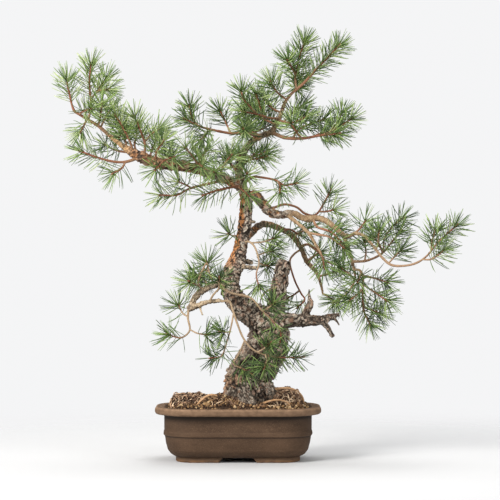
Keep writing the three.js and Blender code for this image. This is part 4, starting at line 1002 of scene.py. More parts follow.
@dataclass
class Pot:
    """Stoneware pot: a rounded rectangle with a heavy rim, a belt, a bowl-shaped foot and four cloud feet.

    The profiles outer and inner and the foot's section are insets from the rim's edge, with heights.
    """

    length: float = 300.0
    depth: float = 196.0
    corner: float = 75.0
    least_corner: float = 18.0
    underside: float = 9.0
    inner_floor: float = 18.0
    front_gap: float = 27.0
    side_gap: float = 16.0
    gap_taper: float = 9.0
    drain_radius: float = 9.0
    drain_x: float = 60.0
    drain_sides: int = 48
    outer: tuple[tuple[float, float], ...] = (
        (38, 9), (30, 13), (23.5, 21), (20, 34), (18.2, 46.6), (15.6, 48.2), (15.9, 54), (17.2, 57), (17, 84),
        (2.5, 85.5), (0, 89), (0.2, 95), (2.5, 98), (17, 98),
    )
    inner: tuple[tuple[float, float], ...] = ((21, 94), (26, 78), (29, 55), (33, 32), (46, 18))
    foot_section: tuple[tuple[float, float], ...] = (
        (38.6, 9.6), (38.0, 6), (38.0, 2.2), (38.7, 0.7), (40.2, 0), (46.0, 0), (52.8, 0), (54.3, 0.7),
        (55.0, 2.2), (55.0, 9.6),
    )
    foot_stations: int = 7
    row_step: float = 4.0
    arc: int = 22
    long: int = 24
    short: int = 8

    def outline(self, inset: Array) -> Array:
        """Rounded rectangles drawn in from the rim's outer edge.

        Each point is a corner's centre plus the corner's radius times a direction, and on the straight
        runs the centre slides from one corner to the next. The radius is the outer one less the inset.

        Args:
            inset: shape (rows,).

        Returns:
            x and y of each point, shape (rows, points, 2), counter-clockwise from the right side.
        """
        radius = np.maximum(self.corner - inset, self.least_corner)[:, None, None]
        half = np.array([self.length, self.depth]) / 2 - inset[:, None, None] - radius
        centres = np.array([[1, 1], [-1, 1], [-1, -1], [1, -1]], float)
        where, way = [], []
        for quarter in range(4):
            angle = np.pi / 2 * (quarter + np.arange(self.arc + 1) / self.arc)
            where.append(np.repeat(centres[quarter][None], self.arc + 1, axis=0))
            way.append(np.stack([np.cos(angle), np.sin(angle)], axis=1))
            parts = self.long if quarter % 2 == 0 else self.short
            share = np.arange(1, parts)[:, None] / parts
            where.append(mix(centres[quarter], centres[(quarter + 1) % 4], share))
            way.append(np.repeat(way[-1][-1:], parts - 1, axis=0))
        return np.concatenate(where)[None] * half + np.concatenate(way)[None] * radius

    def profile(self) -> tuple[Array, Array]:
        """The outer then the inner profile with each corner cut twice into a small round.

        Returns:
            Insets and heights from the underside round the rim to the inner floor, both shape (rows,).
        """
        line = np.array(self.outer + self.inner, float)
        for _ in range(2):
            a, b = line[:-1], line[1:]
            short = np.minimum(0.22, 1.3 / np.linalg.norm(b - a, axis=1))[:, None]
            cut = np.stack([mix(a, b, short), mix(b, a, short)], axis=1).reshape(-1, 2)
            line = np.vstack([line[:1], cut[1:-1], line[-1:]])
        far = walked(line)
        even = np.arange(0.0, far[-1], self.row_step)
        stations = np.unique(np.round(np.concatenate([far, even]), 3))
        return np.interp(stations, far, line[:, 0]), np.interp(stations, far, line[:, 1])

    def wear_and_painted_light(self, inset: Array, z: Array) -> tuple[Array, Array]:
        """How burnished and highlighted, and how shaded, each row of the profile is.

        An edge that stands out is burnished and carries a painted highlight, and an inner corner carries painted
        shade, by how sharply the profile turns there. The rim's face is burnished with a painted highlight,
        brightest along its top edge, and painted shade is laid under the rim.

        Args:
            inset: the rows' insets.
            z: the rows' heights.

        Returns:
            The marks worn and grime, both shape (rows,).
        """
        turn = np.gradient(np.unwrap(np.arctan2(np.gradient(z), -np.gradient(inset))))
        wall = soft_step(z, 34, 44) * (inset < 21)
        # burnished edges carry a painted highlight where the profile turns outwards, strongest high on the wall
        edges = np.clip(turn * 1.6, 0.0, 1.0) * wall * mix(0.3, 1.0, soft_step(z, 60, 84))
        # the rim's face is burnished with a painted highlight, brightest along its top edge
        face = mix(0.55, 0.95, soft_step(z, 93, 97) * (inset < 4))
        rim = face * soft_step(z, 84, 86) * (inset < 17)
        # painted shade in the profile's inner corners, such as the groove under the belt
        corners = np.clip(-turn * 3.4, 0.0, 1.0) * wall * mix(0.95, 0.0, soft_step(z, 49, 55))
        # painted shade on the wall under the rim
        shade = 0.4 * soft_step(z, 64, 80) + 0.6 * soft_step(z, 75, 82)
        shade = shade * (inset > 4) * (inset < 18) * (z < 85.4)
        return np.maximum(edges, rim), np.maximum(corners, shade)

    def body(self) -> Skin:
        """Wall from the underside's edge up the outside, over the rim and down the inside.

        Point (row, i) is the outline at the row's inset and height, moved out by a slow wave of under
        half a millimetre, as hand-pressed clay has.
        """
        inset, z = self.profile()
        flat = self.outline(inset)
        rows, count = flat.shape[:2]
        points = np.dstack([flat, np.broadcast_to(z[:, None], (rows, count))])
        wave = 0.35 * layered(points.reshape(-1, 3) / 34.0, salt=3).reshape(rows, count)
        wave *= (soft_step(z, 14, 30) * (z < 97.9))[:, None]
        points[..., :2] += unit(points[..., :2]) * wave[..., None]
        worn, grime = self.wear_and_painted_light(inset, z)
        skin = Skin(points.reshape(-1, 3), [strip(rows, count)])
        return skin.marked(worn=np.repeat(worn, count), grime=np.repeat(grime, count), toasted=0.0)

    def floor(self, inset: float, z: float, up: bool) -> list[Skin]:
        """Flat floor in two halves, each of rings from its edge to its drain hole.

        Each ring is the edge blended towards the circle at the same angle round the hole.

        Args:
            inset: the edge's inset.
            z: the floor's height.
            up: whether it faces up.

        Returns:
            The two halves.
        """
        edge = self.outline(np.array([inset]))[0]
        shares = np.array([0.0, 0.4, 0.75, 1.0])[:, None, None]
        halves = []
        for sign in (1.0, -1.0):
            rim = edge[edge[:, 0] * sign > -1e-6]
            middle = np.array([[0.0, y] for y in np.linspace(-1, 1, 9)[1:-1] * (self.depth / 2 - inset)])
            rim = np.concatenate([rim, middle])
            hole = np.array([sign * self.drain_x, 0.0])
            rim = rim[np.argsort(np.arctan2(rim[:, 1], rim[:, 0] - hole[0]))]
            circle = hole + self.drain_radius * unit(rim - hole)
            rings = mix(rim[None], circle[None], shares)
            points = np.dstack([rings, np.full(rings.shape[:2], z)]).reshape(-1, 3)
            quads = strip(len(rings), len(rim))
            halves.append(Skin(points, [quads if up else quads[:, ::-1]]).marked(worn=0.0, toasted=0.0))
        return halves

    def bore(self, x: float) -> Skin:
        """Wall of a drain hole, facing its axis."""
        angle = round_angles(self.drain_sides)
        ring = np.stack([x + self.drain_radius * np.cos(angle), self.drain_radius * np.sin(angle)], axis=1)
        rings = [np.column_stack([ring, np.full(len(ring), z)]) for z in (self.underside, self.inner_floor)]
        return Skin(np.vstack(rings), [strip(2, len(ring), turned=True)]).marked(worn=0.0, toasted=0.0)

    def foot(self, sx: float, sy: float) -> Skin:
        """One cloud foot that follows the pot's corner, with sloped ends.

        Point (i, j) runs along the outline, from the side gap round the corner to the front gap, at the
        j-th inset and height of the foot's section. The gaps grow wider towards the ground.

        Args:
            sx: 1 for a foot on the right and -1 for one on the left.
            sy: 1 for a foot at the back and -1 for one at the front.

        Returns:
            The foot's skin.
        """
        inset, z = np.array(self.foot_section, float).T
        radius = np.maximum(self.corner - inset, self.least_corner)
        cx = self.length / 2 - inset - radius
        cy = self.depth / 2 - inset - radius
        open_wide = self.gap_taper * (1.0 - np.clip(z / self.underside, 0, 1) ** 0.7)
        from_y = np.minimum(self.side_gap + open_wide, cy - 0.4)
        to_x = self.front_gap + open_wide
        share = np.linspace(0.0, 1.0, self.foot_stations)[:, None]
        straight = (self.foot_stations, len(z))
        angle = np.linspace(0.0, np.pi / 2, 2 * self.foot_stations + 1)[1:-1, None]
        side = np.dstack([np.broadcast_to(cx + radius, straight), mix(from_y, cy, share)])
        bend = np.dstack([cx + radius * np.cos(angle), cy + radius * np.sin(angle)])
        front = np.dstack([mix(cx, to_x, share), np.broadcast_to(cy + radius, straight)])
        flat = np.concatenate([side, bend, front]) * np.array([sx, sy])
        rows, count = flat.shape[:2]
        points = np.dstack([flat, np.broadcast_to(z, (rows, count))])
        quads = strip(rows, count, turned=True)
        caps = np.stack([np.arange(count), (rows - 1) * count + np.arange(count)[::-1]])
        if sx * sy < 0:
            quads, caps = quads[:, ::-1], caps[:, ::-1]
        skin = Skin(points.reshape(-1, 3), [quads, caps])
        return skin.marked(worn=0.12, toasted=np.tile(0.6 * (1 - soft_step(z, 0, 7)), rows))

    def build(self) -> None:
        """Makes the pot, whose skins repeat the same points where they meet."""
        skins = [self.body()]
        skins += self.floor(self.outer[0][0], self.underside, up=False)
        skins += self.floor(self.inner[-1][0], self.inner_floor, up=True)
        skins += [self.bore(x) for x in (-self.drain_x, self.drain_x)]
        skins += [self.foot(sx, sy) for sx in (1, -1) for sy in (1, -1)]
        dressed(piece("stoneware_pot", skins, [Stoneware().paint()]), "stoneware", "pot")


def lump() -> tuple[Array, Array]:
    """A regular solid of 20 triangles.

    Returns:
        Its twelve corners, one unit from the middle, and its faces.
    """
    t = (1 + 5**0.5) / 2
    corners = [[-1, t, 0], [1, t, 0], [-1, -t, 0], [1, -t, 0], [0, -1, t], [0, 1, t],
               [0, -1, -t], [0, 1, -t], [t, 0, -1], [t, 0, 1], [-t, 0, -1], [-t, 0, 1]]
    faces = [[0, 11, 5], [0, 5, 1], [0, 1, 7], [0, 7, 10], [0, 10, 11], [1, 5, 9], [5, 11, 4], [11, 10, 2],
             [10, 7, 6], [7, 1, 8], [3, 9, 4], [3, 4, 2], [3, 2, 6], [3, 6, 8], [3, 8, 9], [4, 9, 5],
             [2, 4, 11], [6, 2, 10], [8, 6, 7], [9, 8, 1]]
    return unit(np.array(corners, float)), np.array(faces)


@dataclass
class Soil:
    """Gritty soil mounded round the trunk, with a mat of old roots on each side."""

    pot: Pot
    level: float = 98.0
    edge: float = 95.0
    wall_gap: float = 0.7
    floor_gap: float = 0.35
    wall_inset: float = 22.2
    grain_inset: float = 23.6
    near_wall: float = 27.0
    grain_top: float = 97.0
    fibre_inset: float = 25.0
    seed: int = 21
    rings: int = 54
    grain_spacing: float = 3.8
    second_layer: float = 0.42
    on_mats: float = 0.07
    fibres: int = 1400

    @staticmethod
    def plateau(value: Array, low: float, high: float, edge: float) -> Array:
        """A bump with a flat top and soft edges."""
        return soft_step(value, low - edge, low + edge) * (1 - soft_step(value, high - edge, high + edge))

    def mats(self, x: Array, y: Array) -> tuple[Array, Array]:
        """Height of the left and of the right root mat over the ground."""
        left = 13 * self.plateau(x, -122, -62, 8) * self.plateau(y, -36, 46, 13)
        right = 22 * self.plateau(x, 62, 113, 5) * self.plateau(y, -40, 40, 13)
        return left, right

    def height(self, x: Array, y: Array) -> Array:
        """Ground height: a bell-shaped mound, a low one before it, the mats, and clods from waves and noise."""
        mound = 19 * np.exp(-(((x + 6) / 76) ** 2) - ((y - 8) / 52) ** 2)
        mound = mound + 10 * np.exp(-(((x + 26) / 34) ** 2) - ((y + 42) / 22) ** 2)
        left, right = self.mats(x, y)
        mat = np.maximum(left, right)
        clods = 0.9 * np.sin(x / 5.3 + y / 9.1) + 0.9 * np.sin(y / 4.7 - x / 8.3)
        lumps = layered(np.stack([x, y, 0 * x], axis=1) / 13.0, salt=11) * (1 + mat / 8)
        return self.level + np.maximum(mound, mat) + 0.35 * np.minimum(mound, left + right) + clods + lumps

    def inside(self, x: Array, y: Array, inset: float) -> Array:
        """Whether places lie inside the pot's outline drawn in by inset."""
        radius = max(self.pot.corner - inset, self.pot.least_corner)
        beyond_x = np.maximum(np.abs(x) - (self.pot.length / 2 - inset - radius), 0)
        beyond_y = np.maximum(np.abs(y) - (self.pot.depth / 2 - inset - radius), 0)
        return np.hypot(beyond_x, beyond_y) < radius

    def ground(self) -> Skin:
        """Closed lump: up along the pot's wall, then the outline shrinks to the middle at the ground's height."""
        wall = np.array(self.pot.inner[:0:-1], float)
        low_z = wall[:, 1]
        low_z[0] += self.floor_gap
        walls = self.pot.outline(np.append(wall[:, 0] + self.wall_gap, self.wall_inset))
        share = np.linspace(0.985, 0.03, self.rings)[:, None, None]
        top = walls[-1][None] * share
        z_top = self.height(top[..., 0].ravel(), top[..., 1].ravel()).reshape(top.shape[:2])
        z_top = mix(self.edge, z_top, soft_step(1.0 - share[:, :, 0], 0.0, 0.09))
        z_low = np.broadcast_to(np.append(low_z, self.edge)[:, None], walls.shape[:2])
        rings = np.concatenate([np.dstack([walls, z_low]), np.dstack([top, z_top])])
        rows, count = rings.shape[:2]
        low_pole = [[0.0, 0.0, low_z[0]]]
        high_pole = [[0.0, 0.0, float(self.height(np.zeros(1), np.zeros(1))[0])]]
        points = np.vstack([rings.reshape(-1, 3), low_pole, high_pole])
        bottom = fan(rows * count, 0, count, turned=True)
        summit = fan(rows * count + 1, (rows - 1) * count, count)
        # the ground takes the darkest grit colour: painted shade in the gaps between the granules
        return Skin(points, [strip(rows, count), np.concatenate([bottom, summit])]).marked(tone=0.0)

    def grain_places(self, rng: np.random.Generator) -> tuple[Array, Array]:
        """Two layers of granules on a jittered grid, the upper one sparse and both sparse on the mats.

        Args:
            rng: the grains' random numbers.

        Returns:
            Their middles, shape (n, 3), and their sizes, shape (n,).
        """
        g = self.grain_spacing
        x, y = np.meshgrid(np.arange(-140, 140, g), np.arange(-88, 88, g * 0.87))
        x = x + (np.arange(x.shape[0])[:, None] % 2) * g / 2
        x, y = np.tile(x.ravel(), 2), np.tile(y.ravel(), 2)
        x = x + rng.uniform(-0.45, 0.45, len(x)) * g
        y = y + rng.uniform(-0.45, 0.45, len(y)) * g
        layer = np.repeat([0.0, 1.0], len(x) // 2)
        mat = sum(self.mats(x, y))
        chance = np.where(layer > 0, self.second_layer, 1.0) * np.where(mat > 4, self.on_mats, 1.0)
        keep = (rng.uniform(size=len(x)) < chance) & self.inside(x, y, self.grain_inset)
        x, y, layer = x[keep], y[keep], layer[keep]
        size = rng.gamma(8.0, 0.25, len(x)).clip(1.0, 3.2)
        z = self.height(x, y) + size * 0.35 + layer * 1.9
        z = np.where(self.inside(x, y, self.near_wall), z, np.minimum(z, self.grain_top))
        return np.stack([x, y, z], axis=1), size

    def grains(self) -> Skin:
        """Granules, each a 20-sided lump squashed, turned and dented at random."""
        rng = np.random.default_rng(self.seed)
        middle, size = self.grain_places(rng)
        shape, faces = lump()
        scales = size[:, None] * rng.uniform(0.72, 1.2, (len(size), 3))
        skin = copies(shape, faces, middle, random_turns(rng, len(size)), scales)
        dents = 1 + 0.16 * noise(skin.points * 0.9, salt=4)
        centre = np.repeat(middle, len(shape), axis=0)
        skin.points = centre + (skin.points - centre) * dents[:, None]
        tone = rng.beta(0.75, 0.8, len(size)) + 0.10 * noise(middle * np.array([1, 1, 0]) / 22, 5)
        return skin.marked(tone=np.repeat(np.clip(tone, 0, 1), len(shape)))

    def litter(self) -> Skin:
        """Old fibrous roots: bowed threads lying over the two mats, and a few elsewhere."""
        rng = np.random.default_rng(self.seed + 1)
        count = self.fibres
        right = rng.uniform(size=count) < 0.56
        x = np.where(right, rng.uniform(58, 118, count), rng.uniform(-128, -58, count))
        y = np.where(right, rng.uniform(-48, 44, count), rng.uniform(-44, 50, count))
        stray = rng.uniform(size=count) < 0.08
        x = np.where(stray, rng.uniform(-50, 70, count), x)
        y = np.where(stray, rng.uniform(-78, -34, count), y)
        heading = rng.uniform(0, 2 * np.pi, count)
        bow = rng.normal(0, 1.1, count)
        length = rng.uniform(7, 26, count)
        s = np.linspace(-0.5, 0.5, 7)
        angle = heading[:, None] + bow[:, None] * s
        px = x[:, None] + length[:, None] * s * np.cos(angle)
        py = y[:, None] + length[:, None] * s * np.sin(angle)
        inside = self.inside(px, py, self.fibre_inset).all(axis=1)
        px, py = px[inside], py[inside]
        count = len(px)
        ground = self.height(px.ravel(), py.ravel()).reshape(px.shape)
        arch = rng.uniform(0.2, 6.0, count)[:, None] * (1 - (2 * s) ** 2) - 0.9 * (2 * s) ** 2
        paths = np.dstack([px, py, ground + 0.6 + arch])
        radii = rng.gamma(4.0, 0.2, count).clip(0.4, 1.9)[:, None] * (1 - 0.5 * np.abs(2 * s) ** 3)
        skin = bundle(paths, radii, 3)
        tone = np.clip(rng.beta(0.5, 0.8, count) * 1.15 + 0.01 + 0.12 * (px[:, 3] > 0), 0, 1)
        return skin.marked(tone=tone[skin.marks["tube"].astype(int)])

    def build(self) -> None:
        """Makes the ground, the grit on it and the root litter."""
        grit = Grit().paint()
        ground, grains, litter = self.ground(), self.grains(), self.litter()
        dressed(piece("soil_ground", [ground], [grit]), "gritty_soil", "soil")
        dressed(piece("soil_granules", [grains], [grit], smooth=False), "gritty_soil", "soil")
        dressed(piece("root_litter", [litter], [OldRoot().paint()]), "gritty_soil", "soil")


# Tree


class Kind(Enum):
    """What a limb is, which sets its bark."""

    TRUNK = "trunk"
    DEAD = "dead wood"
    LIVING = "living branch"
    ROOT = "root"
    FIBRE = "surface root"


SWELLINGS = {Kind.TRUNK: 0.10, Kind.DEAD: 0.17, Kind.LIVING: 0.07, Kind.ROOT: 0.16, Kind.FIBRE: 0.12}


@dataclass
class Limb:
    """One limb of the wood: its points with radii, and what it is."""

    points: Array
    kind: Kind

    def stations(self, count: int) -> tuple[Array, Array]:
        """Places, shape (count, 3), and radii, shape (count,), evenly along the limb's curve."""
        t = np.linspace(0.0, 1.0, count)
        path = smooth_path(spot(self.points[:, :3]), t)
        return path, linear(self.points[:, 3], t)


ROOT_FLAP = ((6, -20, 134, 14), (13, -40, 120, 11), (22, -52, 108, 8.5), (32, -60, 97, 5))
BARE_TWIGS = (
    ((-66, -45, 305, 1.9), (-72, -45, 322, 1.8), (-66, -44, 340, 1.6), (-57, -42, 356, 1.4), (-52, -40, 338, 1.4),
     (-44, -33, 317, 1.6)),
    ((-39, -33, 305, 2.0), (-31, -40, 311, 1.8), (-10, -46, 301, 1.6), (21, -47, 294, 1.2)),
    ((70, -6, 313, 1.9), (49, -10, 303, 1.6), (40, -12, 289, 1.1)),
)


@dataclass
class Seats:
    """The limb under each point of the wood's skin and the point's place on it, one row a point.

    The columns of across are the way from the limb's line along side and along up, and the length along
    the limb. East is the part of that way along x, in radii.
    """

    limb: Array
    kind: Array
    radius: Array
    across: Array
    east: Array


class Carving:
    """Bark carved into the fused wood, with the marks that its paint goes by.

    The parts of the tree are told apart by the smooth skin's x and z, and patches of noise lie where the
    carved points are.
    """

    def __init__(self, points: Array, faces: Array, at: Seats, salt: int) -> None:
        """Sorts the smooth skin's points by limb and by part of the tree, and carves them.

        Args:
            points: the fused skin's points.
            faces: its squares.
            at: the limb under each point.
            salt: another number gives other bark.
        """
        self.faces, self.at, self.radius, self.salt = faces, at, at.radius, salt
        self.x, self.z = points[:, 0], points[:, 2]
        self.trunk, self.dead, self.living, self.root, self.fibre = (at.kind == kind for kind in Kind)
        self.old = self.trunk | self.dead | self.root
        self.base = (self.trunk | self.root) * soft_step(-self.z, -190, -150)
        self.upper = self.trunk * soft_step(self.z, 335, 375)
        self.low = self.living & (self.x < -12) & (self.z > 240) & (self.z < 345)
        self.rusty = self.living * (self.z > 480) * soft_step(-self.x, 60, 110)
        self.out = self.normals(points)
        self.plates, self.flakes = self.split(points)
        self.lump = layered(points / (7.0 + 0.45 * np.minimum(self.radius, 40))[:, None], salt + 31, 2)
        self.relief = self.raised(points)
        self.points = points + self.out * self.lift()[:, None]
        edge_of_far = self.x + 10 * self.patches(9.0, 72)
        self.far_right = self.living * soft_step(edge_of_far, 82, 108) * (self.z > 392)

    def normals(self, points: Array) -> Array:
        """Unit normals of the points, by the sum of the crossed diagonals of the squares round each."""
        corner = points[self.faces]
        normal = np.cross(corner[:, 2] - corner[:, 0], corner[:, 3] - corner[:, 1])
        sums = [np.bincount(self.faces.ravel(), np.repeat(normal[:, k], 4), len(points)) for k in range(3)]
        return unit(np.stack(sums, axis=1))

    def split(self, points: Array) -> tuple[Tiles, Tiles]:
        """Splits the skin into large plates, and each of them into small flakes.

        The plates' width follows the limb's radius, they are taller than wide, and noise bends their edges.
        """
        width = np.where(self.fibre, 4.0, 4.0 + 0.27 * self.radius) * (1 - 0.35 * self.base)
        tall = np.where(self.dead, 2.4, 1.5) + 0.8 * self.base
        bends = [0.55 * noise(points / 10.0, self.salt + k) + 0.22 * noise(points / 3.6, self.salt + 5 + k)
                 for k in range(3)]
        bend = np.stack(bends, axis=1)
        cell = self.at.across / np.stack([width, width, width * tall], axis=1) + self.at.limb[:, None] * 3.7 + bend
        flake_cell = cell * np.array([2.1, 2.1, 1.6]) + 0.6 * bend
        return tiles(cell, self.salt), tiles(flake_cell, self.salt + 11)

    def depth(self) -> Array:
        """How deep the bark is on each point's limb, in millimetres."""
        radius = self.radius
        kinds = [self.fibre, self.living, self.dead, self.root]
        depths = [0.10, 0.19 * radius + 0.02, 0.14 * radius + 0.4, 0.11 * radius + 0.8]
        deep = np.select(kinds, depths, 0.105 * radius + 0.6)
        deep = np.clip(np.where(self.low, 0.2 * radius + 0.4, deep), 0.08, 4.4) * (1 - 0.35 * self.upper)
        return deep * (1 + 0.3 * self.base)

    def raised(self, points: Array) -> Array:
        """Height of the bark's relief as a share of its depth: plates, flakes, slow lumps and fine noise.

        A plate stands up by a soft step of its distance from its edge times its own random number, and
        slopes along the limb, so that its lower end is lifted as flaking bark is.
        """
        plate = self.plates.height(0.25, 1.1, 1.15)
        flake = self.flakes.height(0.2, 0.9, 0.8)
        fine = layered(points / 2.6, self.salt + 20, 2)
        return 0.85 * plate + 0.36 * flake + 0.5 * self.lump + np.where(self.fibre, 0.3, 0.10) * fine

    def lift(self) -> Array:
        """How far each point moves out in millimetres: the relief, and more body on the inner left branch."""
        inner_left = self.living * (self.z > 480) * soft_step(self.x, -215, -190)
        inner_left = inner_left * (1 - soft_step(self.x, -110, -60))
        return self.depth() * (self.relief - 0.75) + 2.2 * inner_left

    def patches(self, size: float, salt: int) -> Array:
        """Noise from -1 to 1 over the carved points, with patches about size millimetres wide."""
        return noise(self.points / size, salt)

    def stain(self) -> Array:
        """Painted shade on undersides, and at the tree's foot, darker towards the soil."""
        under = 0.75 * soft_step(-self.out[:, 2], 0.2, 0.9) * (~self.living | self.low)
        foot_shade = soft_step(-self.z - 14 * self.patches(15.0, 69), -150, -112)
        return np.maximum(under, 0.25 * foot_shade * (~self.fibre))

    def young(self) -> Array:
        """Smooth bark on thin living branches, on the far right one and on surface roots."""
        thin = soft_step(-self.radius, -7.0, -4.0) + 0.3 * self.patches(16.0, 61)
        young = np.where(self.living, thin, 0.0)
        return np.where(self.fibre, 0.5, np.clip(np.maximum(young, self.far_right), 0, 1))

    def copper(self) -> Array:
        """Copper flakes: on the trunk's top left, on thick branches, at the foot and on the outer left."""
        tag = self.plates.tag
        sunny = soft_step(-self.at.east + 0.5 * self.patches(9.0, 63), 0.02, 0.4)
        sunny = sunny * soft_step(self.z, 330, 378)
        top = self.trunk * sunny * (0.55 + 0.45 * soft_step(tag, 0.10, 0.30))
        thick = mix(0.7, 0.3, self.x < -90) * self.living * soft_step(self.radius, 4.6, 6.4)
        thick = thick * (1 - self.far_right) * soft_step(self.patches(8.0, 66) + 0.3 * (tag - 0.5), 0.12, 0.3)
        foot = self.trunk * soft_step(-self.z, -175, -135)
        foot = foot * soft_step(-self.x + 16 * self.patches(12.0, 71), -14, 6)
        outer_left = self.living * soft_step(-self.x + 12 * self.patches(8.0, 70), 185, 208) * (self.z > 480)
        parts = [top, thick, 0.42 * foot * soft_step(tag, 0.15, 0.5),
                 outer_left * (0.8 + 0.3 * self.patches(9.0, 67)), 0.5 * self.rusty * soft_step(tag, 0.1, 0.5)]
        return np.where(self.fibre, 0.5, np.maximum.reduce(parts))

    def pale(self) -> Array:
        """Pale bark on the low left branches with a painted highlight on their upper, front-facing side, and
        bleached wood on the dead stub.
        """
        stub = self.dead & (self.z > 338) & (self.x < 48)
        sunlit = soft_step(self.out[:, 2] - 0.4 * self.out[:, 1] + 0.5 * self.patches(6.0, 68), -0.7, 0.5)
        pale_wood_and_highlight = np.where(self.low, 0.25 + 0.75 * sunlit, np.where(stub, 0.95, 0.0))
        return pale_wood_and_highlight * (0.45 + 0.55 * self.flakes.tag)

    def cracks_and_shade(self, pale: Array) -> Array:
        """Painted shade in the hollows of the relief, and dark seams between plates and between flakes."""
        # painted shade: the lower the relief, the darker
        hollow_shade = 1 - soft_step(self.relief, 0.1, 0.7)
        crack = np.select([self.fibre, self.low, self.living], [0.0, 0.95, 0.85], 1.0) * hollow_shade * (1 - 0.5 * pale)
        seam = self.living * soft_step(self.radius, 4.0, 6.0) * (1 - soft_step(self.plates.edge, 0.02, 0.16))
        crack = np.maximum(crack, 0.8 * seam) * (1 - 0.75 * self.far_right)
        plate_seam = self.old * (1 - soft_step(self.plates.edge, 0.04, 0.2 + 0.08 * self.base))
        flake_seam = 0.6 * self.old * (1 - soft_step(self.flakes.edge, 0.02, 0.12))
        return np.maximum(np.maximum(crack, plate_seam), flake_seam)

    def tone(self) -> Array:
        """How light each plate is: its own random number, paler at its lifted lip with a painted highlight there,
        and high on the tree.
        """
        # painted highlight: the lifted lower lip of each plate and flake is lighter
        lip_highlight = np.clip(-self.plates.rise, 0, 0.5) + 0.6 * np.clip(-self.flakes.rise, 0, 0.5)
        high = np.maximum(self.upper, self.dead * soft_step(self.z, 250, 290) * (self.x > 20))
        tone = 0.62 * self.plates.tag + 0.38 * self.flakes.tag + 0.16 * self.lump + 0.35 * (lip_highlight - 0.2)
        tone = tone + 0.06 + 0.13 * high + 0.09 * self.upper
        tone = tone - 0.16 * self.dead * (self.z < 285) - 0.04 * self.living * (self.z < 440) * (self.x > 0)
        return np.clip(tone - 0.14 * self.rusty + 0.06 * self.trunk * soft_step(self.z, 225, 260), 0, 1)

    def skin(self) -> Skin:
        """The carved skin with all its marks."""
        pale = self.pale()
        return Skin(self.points, [self.faces]).marked(
            tag=self.tone(), crack=self.cracks_and_shade(pale), young=self.young(), copper=self.copper(),
            stain=self.stain(), pale=pale)


